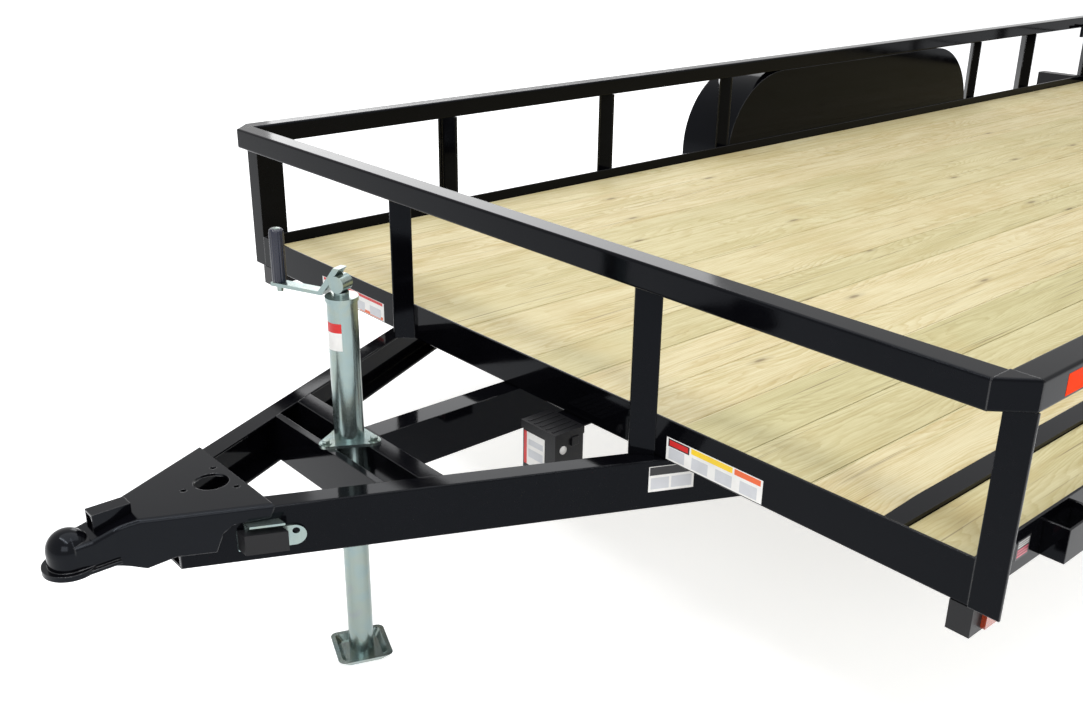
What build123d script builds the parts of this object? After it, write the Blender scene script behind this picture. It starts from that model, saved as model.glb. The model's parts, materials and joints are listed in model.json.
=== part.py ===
"""Tandem-axle tube-top utility trailer with a plank deck, an A-frame tongue on its jack and a rear ramp gate.

Millimetres, +Z up, the tow coupler towards -Y, the trailer's left side towards +X.
The pieces are drawn in a deck frame, whose origin is the top of the front beam's lip at the middle of
its front face, and moved at the end so that the origin is on the ground under the middle of the whole.
"""
from build123d import *
from math import asin, cos, radians, sin, sqrt, tan
import os

# --- frame and deck -------------------------------------------------------------------------------
FRAME_WIDTH = 2134.0          # over the side rails' outer faces, 84 in
BED_LENGTH = 4877.0           # front beam's face to rear beam's face, 16 ft
LIP_HEIGHT = 575.0            # ground to the top of the side rails
RAIL_HEIGHT = 84.0            # side rails and front beam
RAIL_FLANGE = 64.0            # their bottom flange, turned inwards
STEEL = 5.0                   # wall of the frame's angles
HEEL_ROUND = 4.0              # outer round where an angle or channel bends
TOE_ROUND = 1.2
DECK_DROP = 29.7              # lip's top down to the boards' top
BOARD_THICKNESS = 38.0
BOARD_GAP = 2.0               # between boards
BOARD_EDGE_GAP = 2.0          # between the boards and the frame
NARROW_BOARD = 146.0          # board and gap together
WIDE_BOARD = 232.0
NARROW_COUNT = 6              # narrow boards inboard of the strip, then the wide ones
WIDE_COUNT = 2
LAST_COUNT = 4                # boards that share what is left
CROSS_PITCH = 610.0           # spacing of the cross members
CROSS_HEIGHT = 76.0
CROSS_FLANGE = 51.0
REAR_CAP_REACH = 50.0         # rear beam's flange over the boards' ends
STRIP_WIDTH = 40.0            # steel strip let in between two boards
STRIP_RISE = 9.0              # its top above the boards
STRIP_INBOARD = 142.0         # left side rail's outer face to the strip
STRIP_NOSE = 135.0            # narrower front end
STRIP_NOSE_WIDTH = 34.0

# --- fenders --------------------------------------------------------------------------------------
AXLE_SETBACK = 0.572          # middle of the axles and fenders, as a share of the bed's length
AXLE_MID_Y = AXLE_SETBACK * BED_LENGTH
FENDER_LENGTH = 1680.0
FENDER_WIDTH = 228.0
FENDER_CORNER = 300.0         # radius of its front and rear corners
FENDER_BOTTOM = -185.0
FENDER_SHEET = 3.0
FENDER_SKIRT = 26.0           # rolled outer edge
FENDER_FRONT = AXLE_MID_Y - FENDER_LENGTH / 2
FENDER_REAR = AXLE_MID_Y + FENDER_LENGTH / 2

# --- top rails and posts --------------------------------------------------------------------------
TUBE = 50.8                   # square top rail, 2 in
TUBE_WALL = 3.0
TUBE_ROUND = 5.0              # outer corners
TOP_RAIL_HEIGHT = 302.4       # lip to the top of the rail
POST_LEG = 50.8               # legs of the angle posts
POST_WALL = 4.8
FRONT_POST_X = 388.0
CORNER_POST_LEG = 76.0        # corner post's leg back along the side rail
WIDE_POST_LEG = 72.0
FRONT_POST_GAP = 38.6         # post to the fender's front end
REAR_POST_GAP = 50.4          # fender's rear end to the next post
SIDE_POSTS = (                # y, leg
    (636.0, POST_LEG),
    (1301.0, POST_LEG),
    (FENDER_FRONT - FRONT_POST_GAP, POST_LEG),
    (FENDER_REAR + REAR_POST_GAP, POST_LEG),
    (BED_LENGTH - 697.0, WIDE_POST_LEG),
    (BED_LENGTH - 57.0, POST_LEG),
)
POCKET_WIDTH = 43.0           # stake pocket, out from the rail
POCKET_LENGTH = 100.0         # along the rail
POCKET_HEIGHT = 62.0
POCKET_WALL = 4.0
POCKET_DROP = 14.0            # lip down to the pocket's mouth
POCKET_Y = (262.0, 1601.0, BED_LENGTH - 947.0, BED_LENGTH - 317.0)

# --- wheels, axles and springs --------------------------------------------------------------------
TYRE_RADIUS = 343.0
TYRE_WIDTH = 203.0
TYRE_SHOULDER = 22.0          # tread's edge in from the sidewall
TYRE_CROWN = 10.0             # tread's middle above its edges
WHEEL_GAP = 15.5              # side rail's outer face to the tyre
AXLE_SPACING = 850.0
RIM_RADIUS = 190.0
RIM_WIDTH = 127.0
RIM_FLANGE = 10.0
RIM_LIP = 5.0                 # each flange's thickness
RIM_WALL = 3.5
DISC_OFFSET = 8.0             # wheel's middle plane out to the disc's inner face
DISC_WALL = 6.0
WINDOW_COUNT = 8
WINDOW_RADIUS = 26.0
WINDOW_CIRCLE = 138.0         # radius of the windows' circle
LUG_PCD = 114.3
LUG_COUNT = 5
STUD_RADIUS = 6.4
STUD_CLEARANCE = 1.0
NUT_RADIUS = 11.0
NUT_LENGTH = 20.0
HUB_RADIUS = 40.0
HUB_NOSE = 52.0               # wheel's middle plane out to the hub's closed end
CAP_WALL = 6.0
DRUM_RADIUS = 133.0
DRUM_LENGTH = 60.0
DRUM_WALL = 8.0
SPINDLE_RADIUS = 17.0
SPINDLE_CLEARANCE = 0.3
AXLE_RADIUS = 30.0
PLATE_RADIUS = 127.0          # brake backing plate
PLATE_WALL = 5.0
PLATE_GAP = 6.0               # backing plate to drum
SPRING_SPAN = 641.0           # eye to eye
SPRING_WIDTH = 44.5
SPRING_ARCH = 66.0            # eyes above the middle
LEAF = 6.4
LEAF_SHARES = (1.0, 0.78, 0.56, 0.34)
EYE_RADIUS = 15.0
EYE_BORE = 7.5
SPRING_INSET = 32.0           # side rail's outer face to the spring's middle
SEAT_HEIGHT = 8.0
SEAT_LENGTH = 110.0
HANGER_GAP = 2.0
HANGER_WALL = 6.0
HANGER_LENGTH = 70.0
HANGER_TIP = 18.0             # half width and depth round the bolt
ROCKER_HALF = 24.0
LINK_WALL = 6.0
LINK_GAP = 1.0
LINK_CLEARANCE = 4.0          # rocker's links to the middle hanger
BOLT_CLEARANCE = 0.2
BOLT_HEAD = 8.0
U_BOLT_RADIUS = 6.0
U_BOLT_GAP = 1.0              # bolt to spring
TIE_PLATE_WALL = 8.0
TIE_PLATE_GAP = 2.0           # room for the top leaf's curve
BOLT_END = 18.0               # thread above the tie plate

# --- tongue and coupler ---------------------------------------------------------------------------
TONGUE_HALF_ANGLE = 25.6      # degrees, each rail from the trailer's middle line
TONGUE_X_AT_BEAM = 447.0      # rail's outer face where it passes under the front beam
TONGUE_HEIGHT = 102.0
TONGUE_FLANGE = 41.0
TONGUE_WEB = 6.0
TONGUE_FRONT_Y = -787.0
STRINGER_WIDTH = 51.0
TRAY_FRONT_Y = -461.0         # front bar of the jack's cross members
TRAY_BAR = 14.0
TRAY_GAP = 55.0               # bar to the channel behind it
TRAY_FLANGE = 40.0
TRAY_CLEARANCE = 1.0          # notches round the jack's tube
COUPLER_WALL = 5.0
COUPLER_TOP = 6.0             # plate over the rails
COUPLER_BALL_Y = -945.0
COUPLER_PROFILE = (           # back from the ball, top below the plate, bottom below the plate
    (302.0, 0.0, 80.0),
    (151.0, 0.0, 78.0),
    (107.0, 0.0, 93.0),
    (60.0, 11.0, 76.0),
    (30.0, 18.0, 72.0),
    (0.0, 18.0, 72.0),
)
SKIRT_REAR = (                # forward from the plate's rear edge, below the plate
    (0.0, 6.0),
    (7.0, 24.0),
    (63.0, 30.0),
    (79.0, 44.0),
    (97.0, 94.0),
)
BALL_SOCKET = 26.2            # radius, for a 2 in ball
COUPLER_NECK_ROUND = 60.0     # where the neck widens, seen from above
COUPLER_RIB_ROUND = 8.0       # along both upper edges
DOME_RADIUS = 36.0
NECK_LIP = 7.0                # flange along the neck's lower edges
NECK_LIP_WALL = 6.0
NECK_LIP_LENGTH = 70.0        # back from the ball
NOSE_LIP = 10.0               # flange round the dome's mouth
NOSE_LIP_WALL = 10.0
COUPLER_JACK_HOLE = 257.0     # back from the ball
JACK_HOLE_RADIUS = 31.0
JACK_BOLT_PCD = 104.0
JACK_BOLT_RADIUS = 5.5
JACK_BOLT_COUNT = 3
LATCH_FRONT = 40.0            # latch, back from the ball
LATCH_LENGTH = 66.0
LATCH_HALF_WIDTH = 15.0
LATCH_WALL = 4.0
LATCH_RISE = 18.0             # its top above the plate

# --- jack -----------------------------------------------------------------------------------------
JACK_RADIUS = 28.5
JACK_WALL = 2.6
JACK_TOP = 199.0
JACK_BOTTOM = -215.0
JACK_HEAD_RADIUS = 31.0
JACK_HEAD_HEIGHT = 8.0
JACK_FLANGE_WALL = 6.0
JACK_FLANGE_REACH = 81.0      # middle to each corner of the triangle, before rounding
JACK_FLANGE_ROUND = 16.0
SCREW_RADIUS = 14.0
SCREW_RISE = 8.0              # screw's end above the head
LEG_CLEARANCE = 0.5
LEG_WALL = 3.0
LEG_TOP = -80.0
FOOT_SIZE = 112.0             # across the square dish's rim
FOOT_SEAT = 86.0              # across the part that stands on the ground
FOOT_WALL = 5.0
FOOT_RIM = 16.0               # rim above the ground
FOOT_ROUND = 14.0
FOOT_TURN = -21.0             # degrees about +Z
CRANK_REACH = 141.0
CRANK_ANGLE = 202.0           # degrees about +Z from +X to the crank's arm
CRANK_WIDTH = 24.0
CRANK_WALL = 7.0
CRANK_DROP = 4.0              # arm's outer run below the screw's end
CRANK_RISE = 46.0             # strap's top above the screw's end
CRANK_KNEE = 44.0             # screw out to where the strap levels
BOSS_RADIUS = 16.0
BOSS_LENGTH = 30.0
GRIP_RADIUS = 14.0
GRIP_LENGTH = 102.0
GRIP_GAP = 1.0
GRIP_BOLT_RADIUS = 6.0
GRIP_BOLT_LENGTH = 11.0       # below the arm

# --- tongue equipment and lamps -------------------------------------------------------------------
BATTERY_X = (156.0, 252.0)
BATTERY_Y = (-97.0, -23.0)
BATTERY_HEIGHT = 88.0
BATTERY_DROP = 10.0           # tongue's top down to the box's rim
BATTERY_WALL = 3.0
LID_HEIGHT = 16.0
LID_OVERHANG = 3.0            # on its front and sides
BRACKET_WALL = 4.0
BRACKET_INSET = 10.0          # its ends in from the box's sides
BRACKET_HEIGHT = 66.0
BRACKET_SEAT = 40.0           # its top leg back under the front beam
SWITCH_Y = (-702.0, -636.0)
SWITCH_DEPTH = 24.0
SWITCH_Z = (28.0, 66.0)       # above the rail's lower edge
TAB_REAR_Y = -597.0
TAB_WALL = 4.0
TAB_Z = (24.0, 63.0)
TAB_HOLE_RADIUS = 6.0
TAB_HOLE = (-613.0, 52.0)     # y, and height above the rail's lower edge
FOLD_Y = (-690.0, -636.0)
FOLD_TOP = 78.0
FOLD_DEPTH = 20.0             # out from the rail
MARKER_INSET = 29.0           # inboard of the side rail's outer face
MARKER_WIDTH = 40.0
MARKER_LENGTH = 78.0          # rearwards from the front beam's face
MARKER_HEIGHT = 51.0
MARKER_LENS_SHARE = 0.4       # front of its lens, as a share of the length
TAIL_LENGTH = 195.0           # out from the side rail
TAIL_Y = (BED_LENGTH - 161.0, BED_LENGTH - 99.0)
TAIL_Z = (-92.0, 4.0)
LENS = 8.0                    # how far a lens stands out
LENS_MARGIN = 12.0

# --- ramp gate ------------------------------------------------------------------------------------
GATE_HEIGHT = 1219.0
GATE_SIDE_GAP = 12.0
GATE_TUBE = 38.0
GATE_BARS = 9                 # cross bars between the bottom and top tubes
GATE_UPRIGHTS = 3             # between the side tubes
GATE_GAP = 15.0               # rear beam to gate
HINGE_DROP = 62.0             # lip down to the hinge line
HINGE_RADIUS = 13.0
HINGE_PIN = 8.0
HINGE_CLEARANCE = 0.4
HINGE_COUNT = 4
HINGE_INSET = 167.0           # outer hinges, in from the side rail's outer face
HINGE_LENGTH = 60.0
HINGE_LUG_GAP = 1.0
HINGE_EAR_WALL = 10.0
HINGE_RAISE = 6.0             # gate's lower edge above the hinge's barrel
GATE_BAR_DEPTH = 14.0
GATE_BAR_HEIGHT = 6.0
LATCH_ROD_RADIUS = 6.0
LATCH_ROD_SETBACK = 237.0     # its front end, from the rear beam
LATCH_ROD_CLEARANCE = 7.0     # rod's end to the gate
LATCH_ROD_INSET = 31.0        # side rail's outer face to the rod
LATCH_ROD_RISE = 4.0          # its middle above the top rail's underside
LATCH_HANDLE = 45.0
LATCH_HANDLE_WIDTH = 14.0
LATCH_EYES = (177.0, 27.0)    # from the rear beam
LATCH_EYE_SIZE = 20.0
LATCH_EYE_WALL = 10.0

# --- derived --------------------------------------------------------------------------------------
HALF = FRAME_WIDTH / 2
DECK_Z = -DECK_DROP
BOARD_BOTTOM = DECK_Z - BOARD_THICKNESS
RAIL_BOTTOM = TOP_RAIL_HEIGHT - TUBE
GROUND = -LIP_HEIGHT
WHEEL_X = HALF + WHEEL_GAP + TYRE_WIDTH / 2
MARKER_X = (HALF - MARKER_INSET, HALF - MARKER_INSET + MARKER_WIDTH)
HINGE_STEP = 2 * (HALF - HINGE_INSET) / (HINGE_COUNT - 1)
HINGE_X = [HINGE_INSET - HALF + HINGE_STEP * n for n in range(HINGE_COUNT)]
AXLE_Z = GROUND + TYRE_RADIUS
AXLE_YS = (AXLE_MID_Y - AXLE_SPACING / 2, AXLE_MID_Y + AXLE_SPACING / 2)
SLOPE = tan(radians(TONGUE_HALF_ANGLE))
TONGUE_TOP = -RAIL_HEIGHT
TONGUE_BOTTOM = TONGUE_TOP - TONGUE_HEIGHT
BATTERY_RIM = TONGUE_TOP - BATTERY_DROP
TONGUE_REAR_Y = CROSS_PITCH
PLATE_TOP = TONGUE_TOP + COUPLER_TOP
COUPLER_REAR_Y = COUPLER_BALL_Y + COUPLER_PROFILE[0][0]
LIP_BOTTOM = PLATE_TOP - COUPLER_PROFILE[-1][2]
DOME_Z = PLATE_TOP - DOME_RADIUS
JACK_HOLE_Y = COUPLER_BALL_Y + COUPLER_JACK_HOLE
JACK_Y = TRAY_FRONT_Y + TRAY_BAR / 2 + JACK_BOLT_PCD / 2
LEG_RADIUS = JACK_RADIUS - JACK_WALL - LEG_CLEARANCE
SCREW_TOP = JACK_TOP + JACK_HEAD_HEIGHT + SCREW_RISE
GATE_Y = BED_LENGTH + GATE_GAP
HINGE_Y = GATE_Y + GATE_TUBE / 2
HINGE_Z = -HINGE_DROP
GATE_BOTTOM = HINGE_Z + HINGE_RADIUS + HINGE_RAISE
GATE_HALF = HALF - GATE_SIDE_GAP
NOSE_Y = COUPLER_BALL_Y - DOME_RADIUS - NOSE_LIP
REAR_Y = GATE_Y + GATE_TUBE
DISC_X = WHEEL_X + DISC_OFFSET
DRUM_X = DISC_X - DRUM_LENGTH
PLATE_X = DRUM_X - PLATE_GAP - PLATE_WALL
SPRING_X = HALF - SPRING_INSET
SEAT_Z = AXLE_Z + AXLE_RADIUS
PACK = LEAF * len(LEAF_SHARES)
EYE_Z = SEAT_Z + SEAT_HEIGHT + PACK - LEAF / 2 + SPRING_ARCH
ARC_RADIUS = ((SPRING_SPAN / 2) ** 2 + SPRING_ARCH ** 2) / (2 * SPRING_ARCH)
EQUALIZER_HALF = (AXLE_SPACING - SPRING_SPAN) / 2


def box(x0, x1, y0, y1, z0, z1):
    """Block between two corners."""
    return Pos((x0 + x1) / 2, (y0 + y1) / 2, (z0 + z1) / 2) * Box(abs(x1 - x0), abs(y1 - y0), abs(z1 - z0))


def prism_x(points, x0, x1):
    """Outline of (y, z) points carried from x0 to x1."""
    return extrude(Plane.YZ.offset(x0) * Polygon(*points, align=None), amount=x1 - x0, dir=(1, 0, 0))


def prism_y(points, y0, y1):
    """Outline of (x, z) points carried from y0 to y1."""
    return extrude(Plane.XZ.offset(-y0) * Polygon(*points, align=None), amount=y1 - y0, dir=(0, 1, 0))


def prism_z(points, z0, z1):
    """Outline of (x, y) points carried from z0 to z1."""
    return extrude(Plane.XY.offset(z0) * Polygon(*points, align=None), amount=z1 - z0, dir=(0, 0, 1))


def rod_x(radius, x0, x1, y, z):
    """Round bar along X."""
    return Pos((x0 + x1) / 2, y, z) * Rot(0, 90, 0) * Cylinder(radius, abs(x1 - x0))


def rod_z(radius, z0, z1, x, y):
    """Round bar along Z."""
    return Pos(x, y, (z0 + z1) / 2) * Cylinder(radius, abs(z1 - z0))


def soft_face(points, heels):
    """Outline with its outward corners rounded, the ones listed as heels by more."""
    after = points[1:] + points[:1]
    before = points[-1:] + points[:-1]
    way = sum(p[0] * q[1] - q[0] * p[1] for p, q in zip(points, after))
    face = Polygon(*points, align=None)
    for a, b, c in zip(before, points, after):
        turn = (b[0] - a[0]) * (c[1] - b[1]) - (b[1] - a[1]) * (c[0] - b[0])
        if turn * way > 0:
            corner = face.vertices().sort_by_distance(b)[0]
            face = fillet(corner, HEEL_ROUND if b in heels else TOE_ROUND)
    return face


def bar_x(face, x0, x1):
    """Section of (y, z) carried from x0 to x1."""
    return extrude(Plane.YZ.offset(x0) * face, amount=x1 - x0, dir=(1, 0, 0))


def bar_y(face, y0, y1):
    """Section of (x, z) carried from y0 to y1."""
    return extrude(Plane.XZ.offset(-y0) * face, amount=y1 - y0, dir=(0, 1, 0))


def tube_face(size=TUBE, wall=TUBE_WALL, corner=TUBE_ROUND):
    """Square tube's section about its middle."""
    inner = size - 2 * wall
    return RectangleRounded(size, size, corner) - RectangleRounded(inner, inner, corner - wall)


def mirror_x(shape):
    """The same piece on the other side."""
    return mirror(shape, about=Plane.YZ)


def both(*shapes):
    """Left-hand pieces and their mirror images, as one node of separate solids."""
    return Compound(children=[*shapes, *(mirror_x(shape) for shape in shapes)])


# --- frame ----------------------------------------------------------------------------------------
def front_beam():
    low = -RAIL_HEIGHT
    seat = low + STEEL
    points = [(0, 0), (STEEL, 0), (STEEL, seat), (RAIL_FLANGE, seat), (RAIL_FLANGE, low), (0, low)]
    return bar_x(soft_face(points, [(0, low)]), -HALF, HALF)


def rear_beam():
    """Channel that caps the boards' rear ends flush with their tops and lies open towards the front."""
    rear, low, top = BED_LENGTH, -RAIL_HEIGHT, DECK_Z
    under, seat = top - STEEL, low + STEEL
    cap, face = rear - REAR_CAP_REACH, rear - STEEL
    points = [(rear, top), (cap, top), (cap, under), (face, under),
              (face, seat), (rear - RAIL_FLANGE, seat), (rear - RAIL_FLANGE, low), (rear, low)]
    beam = bar_x(soft_face(points, [(rear, low), (rear, top)]), -HALF, HALF)
    for side in (-1, 1):
        x0, x1 = sorted((side * (HALF - STEEL), side * HALF))
        beam -= box(x0, x1, cap, face, under, top)
    return beam


def side_rails():
    low = -RAIL_HEIGHT
    outer, toe = HALF, HALF - RAIL_FLANGE
    seat = low + STEEL
    points = [(outer, 0), (outer - STEEL, 0), (outer - STEEL, seat), (toe, seat), (toe, low), (outer, low)]
    rail = bar_y(soft_face(points, [(outer, low)]), STEEL, BED_LENGTH - STEEL)
    for y0, y1 in ((STEEL, RAIL_FLANGE), (BED_LENGTH - RAIL_FLANGE, BED_LENGTH - STEEL)):
        rail -= box(toe, outer, y0, y1, low, seat)
    return both(rail)


def cross_member(y):
    """Angle under the boards, notched over the side rails' flanges."""
    reach = HALF - STEEL
    inner = HALF - RAIL_FLANGE
    seat = STEEL - RAIL_HEIGHT
    top = BOARD_BOTTOM
    low = top - CROSS_HEIGHT
    outline = [(-reach, top), (reach, top), (reach, seat), (inner, seat), (inner, low),
               (-inner, low), (-inner, seat), (-reach, seat)]
    web = prism_y(outline, y, y + STEEL)
    return web + box(-reach, reach, y + STEEL, y + CROSS_FLANGE, top - STEEL, top)


def cross_members():
    count = int((BED_LENGTH - CROSS_PITCH) // CROSS_PITCH) + 1
    return Compound(children=[cross_member(CROSS_PITCH * (n + 1)) for n in range(count)])


def board_edges():
    """X of every joint between boards, from the strip's inboard side to the right side rail."""
    edge = HALF - STRIP_INBOARD - STRIP_WIDTH - BOARD_EDGE_GAP
    far = -(HALF - STEEL - BOARD_EDGE_GAP)
    edges = [edge]
    for count, width in ((NARROW_COUNT, NARROW_BOARD), (WIDE_COUNT, WIDE_BOARD)):
        for n in range(count):
            edges.append(edges[-1] - width)
    last = (edges[-1] - far) / LAST_COUNT
    for n in range(LAST_COUNT):
        edges.append(edges[-1] - last)
    return edges


def deck_boards():
    """Boards, rebated at the rear for the beam's cap."""
    y0, y1 = STEEL + BOARD_EDGE_GAP, BED_LENGTH - STEEL - BOARD_EDGE_GAP
    edges = board_edges()
    spans = [(a - BOARD_GAP / 2, b + BOARD_GAP / 2) for a, b in zip(edges, edges[1:])]
    spans.append((HALF - STEEL - BOARD_EDGE_GAP, HALF - STRIP_INBOARD + BOARD_EDGE_GAP))
    step = BED_LENGTH - REAR_CAP_REACH - BOARD_EDGE_GAP
    rebate = DECK_Z - STEEL
    outline = [(y0, BOARD_BOTTOM), (y1, BOARD_BOTTOM), (y1, rebate), (step, rebate), (step, DECK_Z),
               (y0, DECK_Z)]
    return Compound(children=[prism_x(outline, x1, x0) for x0, x1 in spans])


def deck_strip():
    """Steel strip between two boards, a little proud of them and narrower at its front end."""
    outer = HALF - STRIP_INBOARD
    start = STEEL + BOARD_EDGE_GAP
    end = BED_LENGTH - REAR_CAP_REACH - BOARD_EDGE_GAP
    outline = [(outer - STRIP_NOSE_WIDTH, start), (outer, start), (outer, end), (outer - STRIP_WIDTH, end),
               (outer - STRIP_WIDTH, start + STRIP_NOSE)]
    return prism_z(outline, BOARD_BOTTOM, DECK_Z + STRIP_RISE)


# --- top rails and posts --------------------------------------------------------------------------
def top_rail_front():
    middle = Pos(-TUBE / 2, TOP_RAIL_HEIGHT - TUBE / 2)
    return bar_x(middle * tube_face(), -HALF, HALF)


def top_rails():
    middle = Pos(HALF + TUBE / 2, TOP_RAIL_HEIGHT - TUBE / 2)
    return both(bar_y(middle * tube_face(), 0, BED_LENGTH))


def corner_caps():
    """Closed wedge that joins the front and side rails with a face at 45 degrees."""
    cap = prism_z([(HALF, -TUBE), (HALF + TUBE, 0), (HALF, 0)], RAIL_BOTTOM, TOP_RAIL_HEIGHT)
    slanted = cap.faces().sort_by(Axis((HALF, 0, 0), (1, -1, 0)))[-1]
    level = slanted.edges().filter_by(Axis.Z, reverse=True)
    return both(fillet(level, TUBE_ROUND))


def vee_face(leg):
    """Angle post seen from above: heel towards -Y, toes on the line y = 0."""
    reach = leg / sqrt(2)
    wall = POST_WALL * sqrt(2)
    toe = reach - wall
    face = Polygon((-reach, 0), (0, -reach), (reach, 0), (toe, 0), (0, -toe), (-toe, 0), align=None)
    return fillet(face.vertices().sort_by_distance((0, -reach))[0], HEEL_ROUND)


def vee_post(leg):
    foot = Plane.XY.offset(-RAIL_HEIGHT) * vee_face(leg)
    return extrude(foot, amount=RAIL_HEIGHT + RAIL_BOTTOM, dir=(0, 0, 1))


def side_posts():
    return both(*(Pos(HALF, y, 0) * Rot(0, 0, 90) * vee_post(leg) for y, leg in SIDE_POSTS))


def corner_post():
    """Angle at the beam's end, with one leg out in line with its face and the other back along the rail."""
    outline = [(HALF, 0), (HALF + POST_LEG, 0), (HALF + POST_LEG, POST_WALL), (HALF + POST_WALL, POST_WALL),
               (HALF + POST_WALL, CORNER_POST_LEG), (HALF, CORNER_POST_LEG)]
    return prism_z(outline, -RAIL_HEIGHT, RAIL_BOTTOM)


def front_posts():
    """The two posts of the front rail and the two at its corners."""
    return both(Pos(FRONT_POST_X, 0, 0) * vee_post(POST_LEG), corner_post())


def stake_pockets():
    pockets = []
    for y in POCKET_Y:
        y0, y1 = y - POCKET_LENGTH / 2, y + POCKET_LENGTH / 2
        top = -POCKET_DROP
        low = top - POCKET_HEIGHT
        outer = box(HALF, HALF + POCKET_WIDTH, y0, y1, low, top)
        bore = box(HALF, HALF + POCKET_WIDTH - POCKET_WALL, y0 + POCKET_WALL, y1 - POCKET_WALL, low, top)
        pockets.append(outer - bore)
    return both(*pockets)


# --- fenders --------------------------------------------------------------------------------------
def fender_band(inset):
    """Outline, as a face of (y, z), of the space under the fender's skin, moved in by inset."""
    y0, y1 = FENDER_FRONT + inset, FENDER_REAR - inset
    top = RAIL_BOTTOM - inset
    radius = FENDER_CORNER - inset
    low = FENDER_BOTTOM
    k = radius * (1 - 1 / sqrt(2))
    edges = [
        Line((y0, low), (y0, top - radius)),
        ThreePointArc((y0, top - radius), (y0 + k, top - k), (y0 + radius, top)),
        Line((y0 + radius, top), (y1 - radius, top)),
        ThreePointArc((y1 - radius, top), (y1 - k, top - k), (y1, top - radius)),
        Line((y1, top - radius), (y1, low)),
        Line((y1, low), (y0, low)),
    ]
    return make_face(edges)


def fender_space(inset, x0, x1):
    return extrude(Plane.YZ.offset(x0) * fender_band(inset), amount=x1 - x0, dir=(1, 0, 0))


def fenders():
    outer_x = HALF + FENDER_WIDTH
    shell = fender_space(0, HALF, outer_x)
    shell -= fender_space(FENDER_SHEET, HALF, outer_x - FENDER_SHEET)
    shell -= fender_space(FENDER_SKIRT, outer_x - FENDER_SHEET, outer_x)
    panel = fender_space(FENDER_SHEET, HALF, HALF + FENDER_SHEET)
    panel -= box(HALF, HALF + FENDER_SHEET, 0, BED_LENGTH, FENDER_BOTTOM, -RAIL_HEIGHT)
    return both(shell + panel)


# --- tongue ---------------------------------------------------------------------------------------
def tongue_x(y, inset):
    """X of the left rail's outer face at y, moved in by inset measured square to the rail."""
    return TONGUE_X_AT_BEAM + SLOPE * y - inset / cos(radians(TONGUE_HALF_ANGLE))


def tongue_strip(y0, y1, inset0, inset1, z0, z1):
    """Strip along the left tongue rail between two insets from its outer face."""
    outline = [(tongue_x(y0, inset0), y0), (tongue_x(y1, inset0), y1),
               (tongue_x(y1, inset1), y1), (tongue_x(y0, inset1), y0)]
    return prism_z(outline, z0, z1)


def tongue_rails():
    """Channel, web outwards, cut square across the trailer at both ends."""
    height, flange, web = TONGUE_HEIGHT, TONGUE_FLANGE, TONGUE_WEB
    points = [(0, 0), (-flange, 0), (-flange, web), (-web, web),
              (-web, height - web), (-flange, height - web), (-flange, height), (0, height)]
    over = TONGUE_HEIGHT
    start = (TONGUE_FRONT_Y - over) / cos(radians(TONGUE_HALF_ANGLE))
    end = (TONGUE_REAR_Y + over) / cos(radians(TONGUE_HALF_ANGLE))
    channel = bar_y(soft_face(points, [(0, 0), (0, height)]), start, end)
    placed = Pos(TONGUE_X_AT_BEAM, 0, TONGUE_BOTTOM) * Rot(0, 0, -TONGUE_HALF_ANGLE) * channel
    return both(placed & box(-HALF, HALF, TONGUE_FRONT_Y, TONGUE_REAR_Y, GROUND, 0))


def between_rails(y0, y1, z0, z1, inset):
    """Plate that spans the tongue between the two rails."""
    right = [(-tongue_x(y1, inset), y1), (-tongue_x(y0, inset), y0)]
    left = [(tongue_x(y0, inset), y0), (tongue_x(y1, inset), y1)]
    return prism_z(left + right, z0, z1)


def jack_tray():
    """Two cross members under the jack's flange, notched round its tube: a bar in front, a channel behind."""
    low, high = TONGUE_BOTTOM + TONGUE_WEB, TONGUE_TOP - TONGUE_WEB
    y0, y1 = TRAY_FRONT_Y, TRAY_FRONT_Y + TRAY_BAR
    front = between_rails(y0, y1, low, high, TONGUE_WEB)
    front += between_rails(y0, y1, high, TONGUE_TOP, TONGUE_FLANGE)
    y2 = y1 + TRAY_GAP
    rear = between_rails(y2, y2 + TONGUE_WEB, low, high, TONGUE_WEB)
    rear += between_rails(y2, y2 + TRAY_FLANGE, high, TONGUE_TOP, TONGUE_FLANGE)
    notch = rod_z(JACK_RADIUS + TRAY_CLEARANCE, TONGUE_BOTTOM, TONGUE_TOP, 0, JACK_Y)
    return Compound(children=[front - notch, rear - notch])


def tongue_stringer():
    """Tube along the middle line from the jack's tray to the first cross member."""
    y0 = TRAY_FRONT_Y + TRAY_BAR + TRAY_GAP + TRAY_FLANGE
    half = STRINGER_WIDTH / 2
    bore = half - TUBE_WALL
    low = TONGUE_BOTTOM + TONGUE_WEB
    outer = box(-half, half, y0, TONGUE_REAR_Y, low, TONGUE_TOP)
    return outer - box(-bore, bore, y0, TONGUE_REAR_Y, low + TUBE_WALL, TONGUE_TOP - TUBE_WALL)


# --- coupler --------------------------------------------------------------------------------------
def coupler_plan(wall):
    """Seen from above, moved in by wall: neck beside the ball, then out along the rails."""
    half = DOME_RADIUS - wall
    neck_y = (half - tongue_x(0, wall - COUPLER_WALL)) / SLOPE
    rear_x = tongue_x(COUPLER_REAR_Y, wall - COUPLER_WALL)
    left = [(half, COUPLER_BALL_Y), (half, neck_y), (rear_x, COUPLER_REAR_Y)]
    right = [(-x, y) for x, y in reversed(left)]
    return prism_z(left + right, GROUND, 0)


def coupler_side(roof, floor):
    """Seen from the side, with its top lowered by roof and its bottom by floor."""
    top = [(COUPLER_BALL_Y + back, PLATE_TOP - drop - roof) for back, drop, depth in COUPLER_PROFILE]
    bottom = [(COUPLER_BALL_Y + back, PLATE_TOP - depth - floor) for back, drop, depth in COUPLER_PROFILE]
    return prism_x(top + bottom[::-1], -HALF, HALF)


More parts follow.
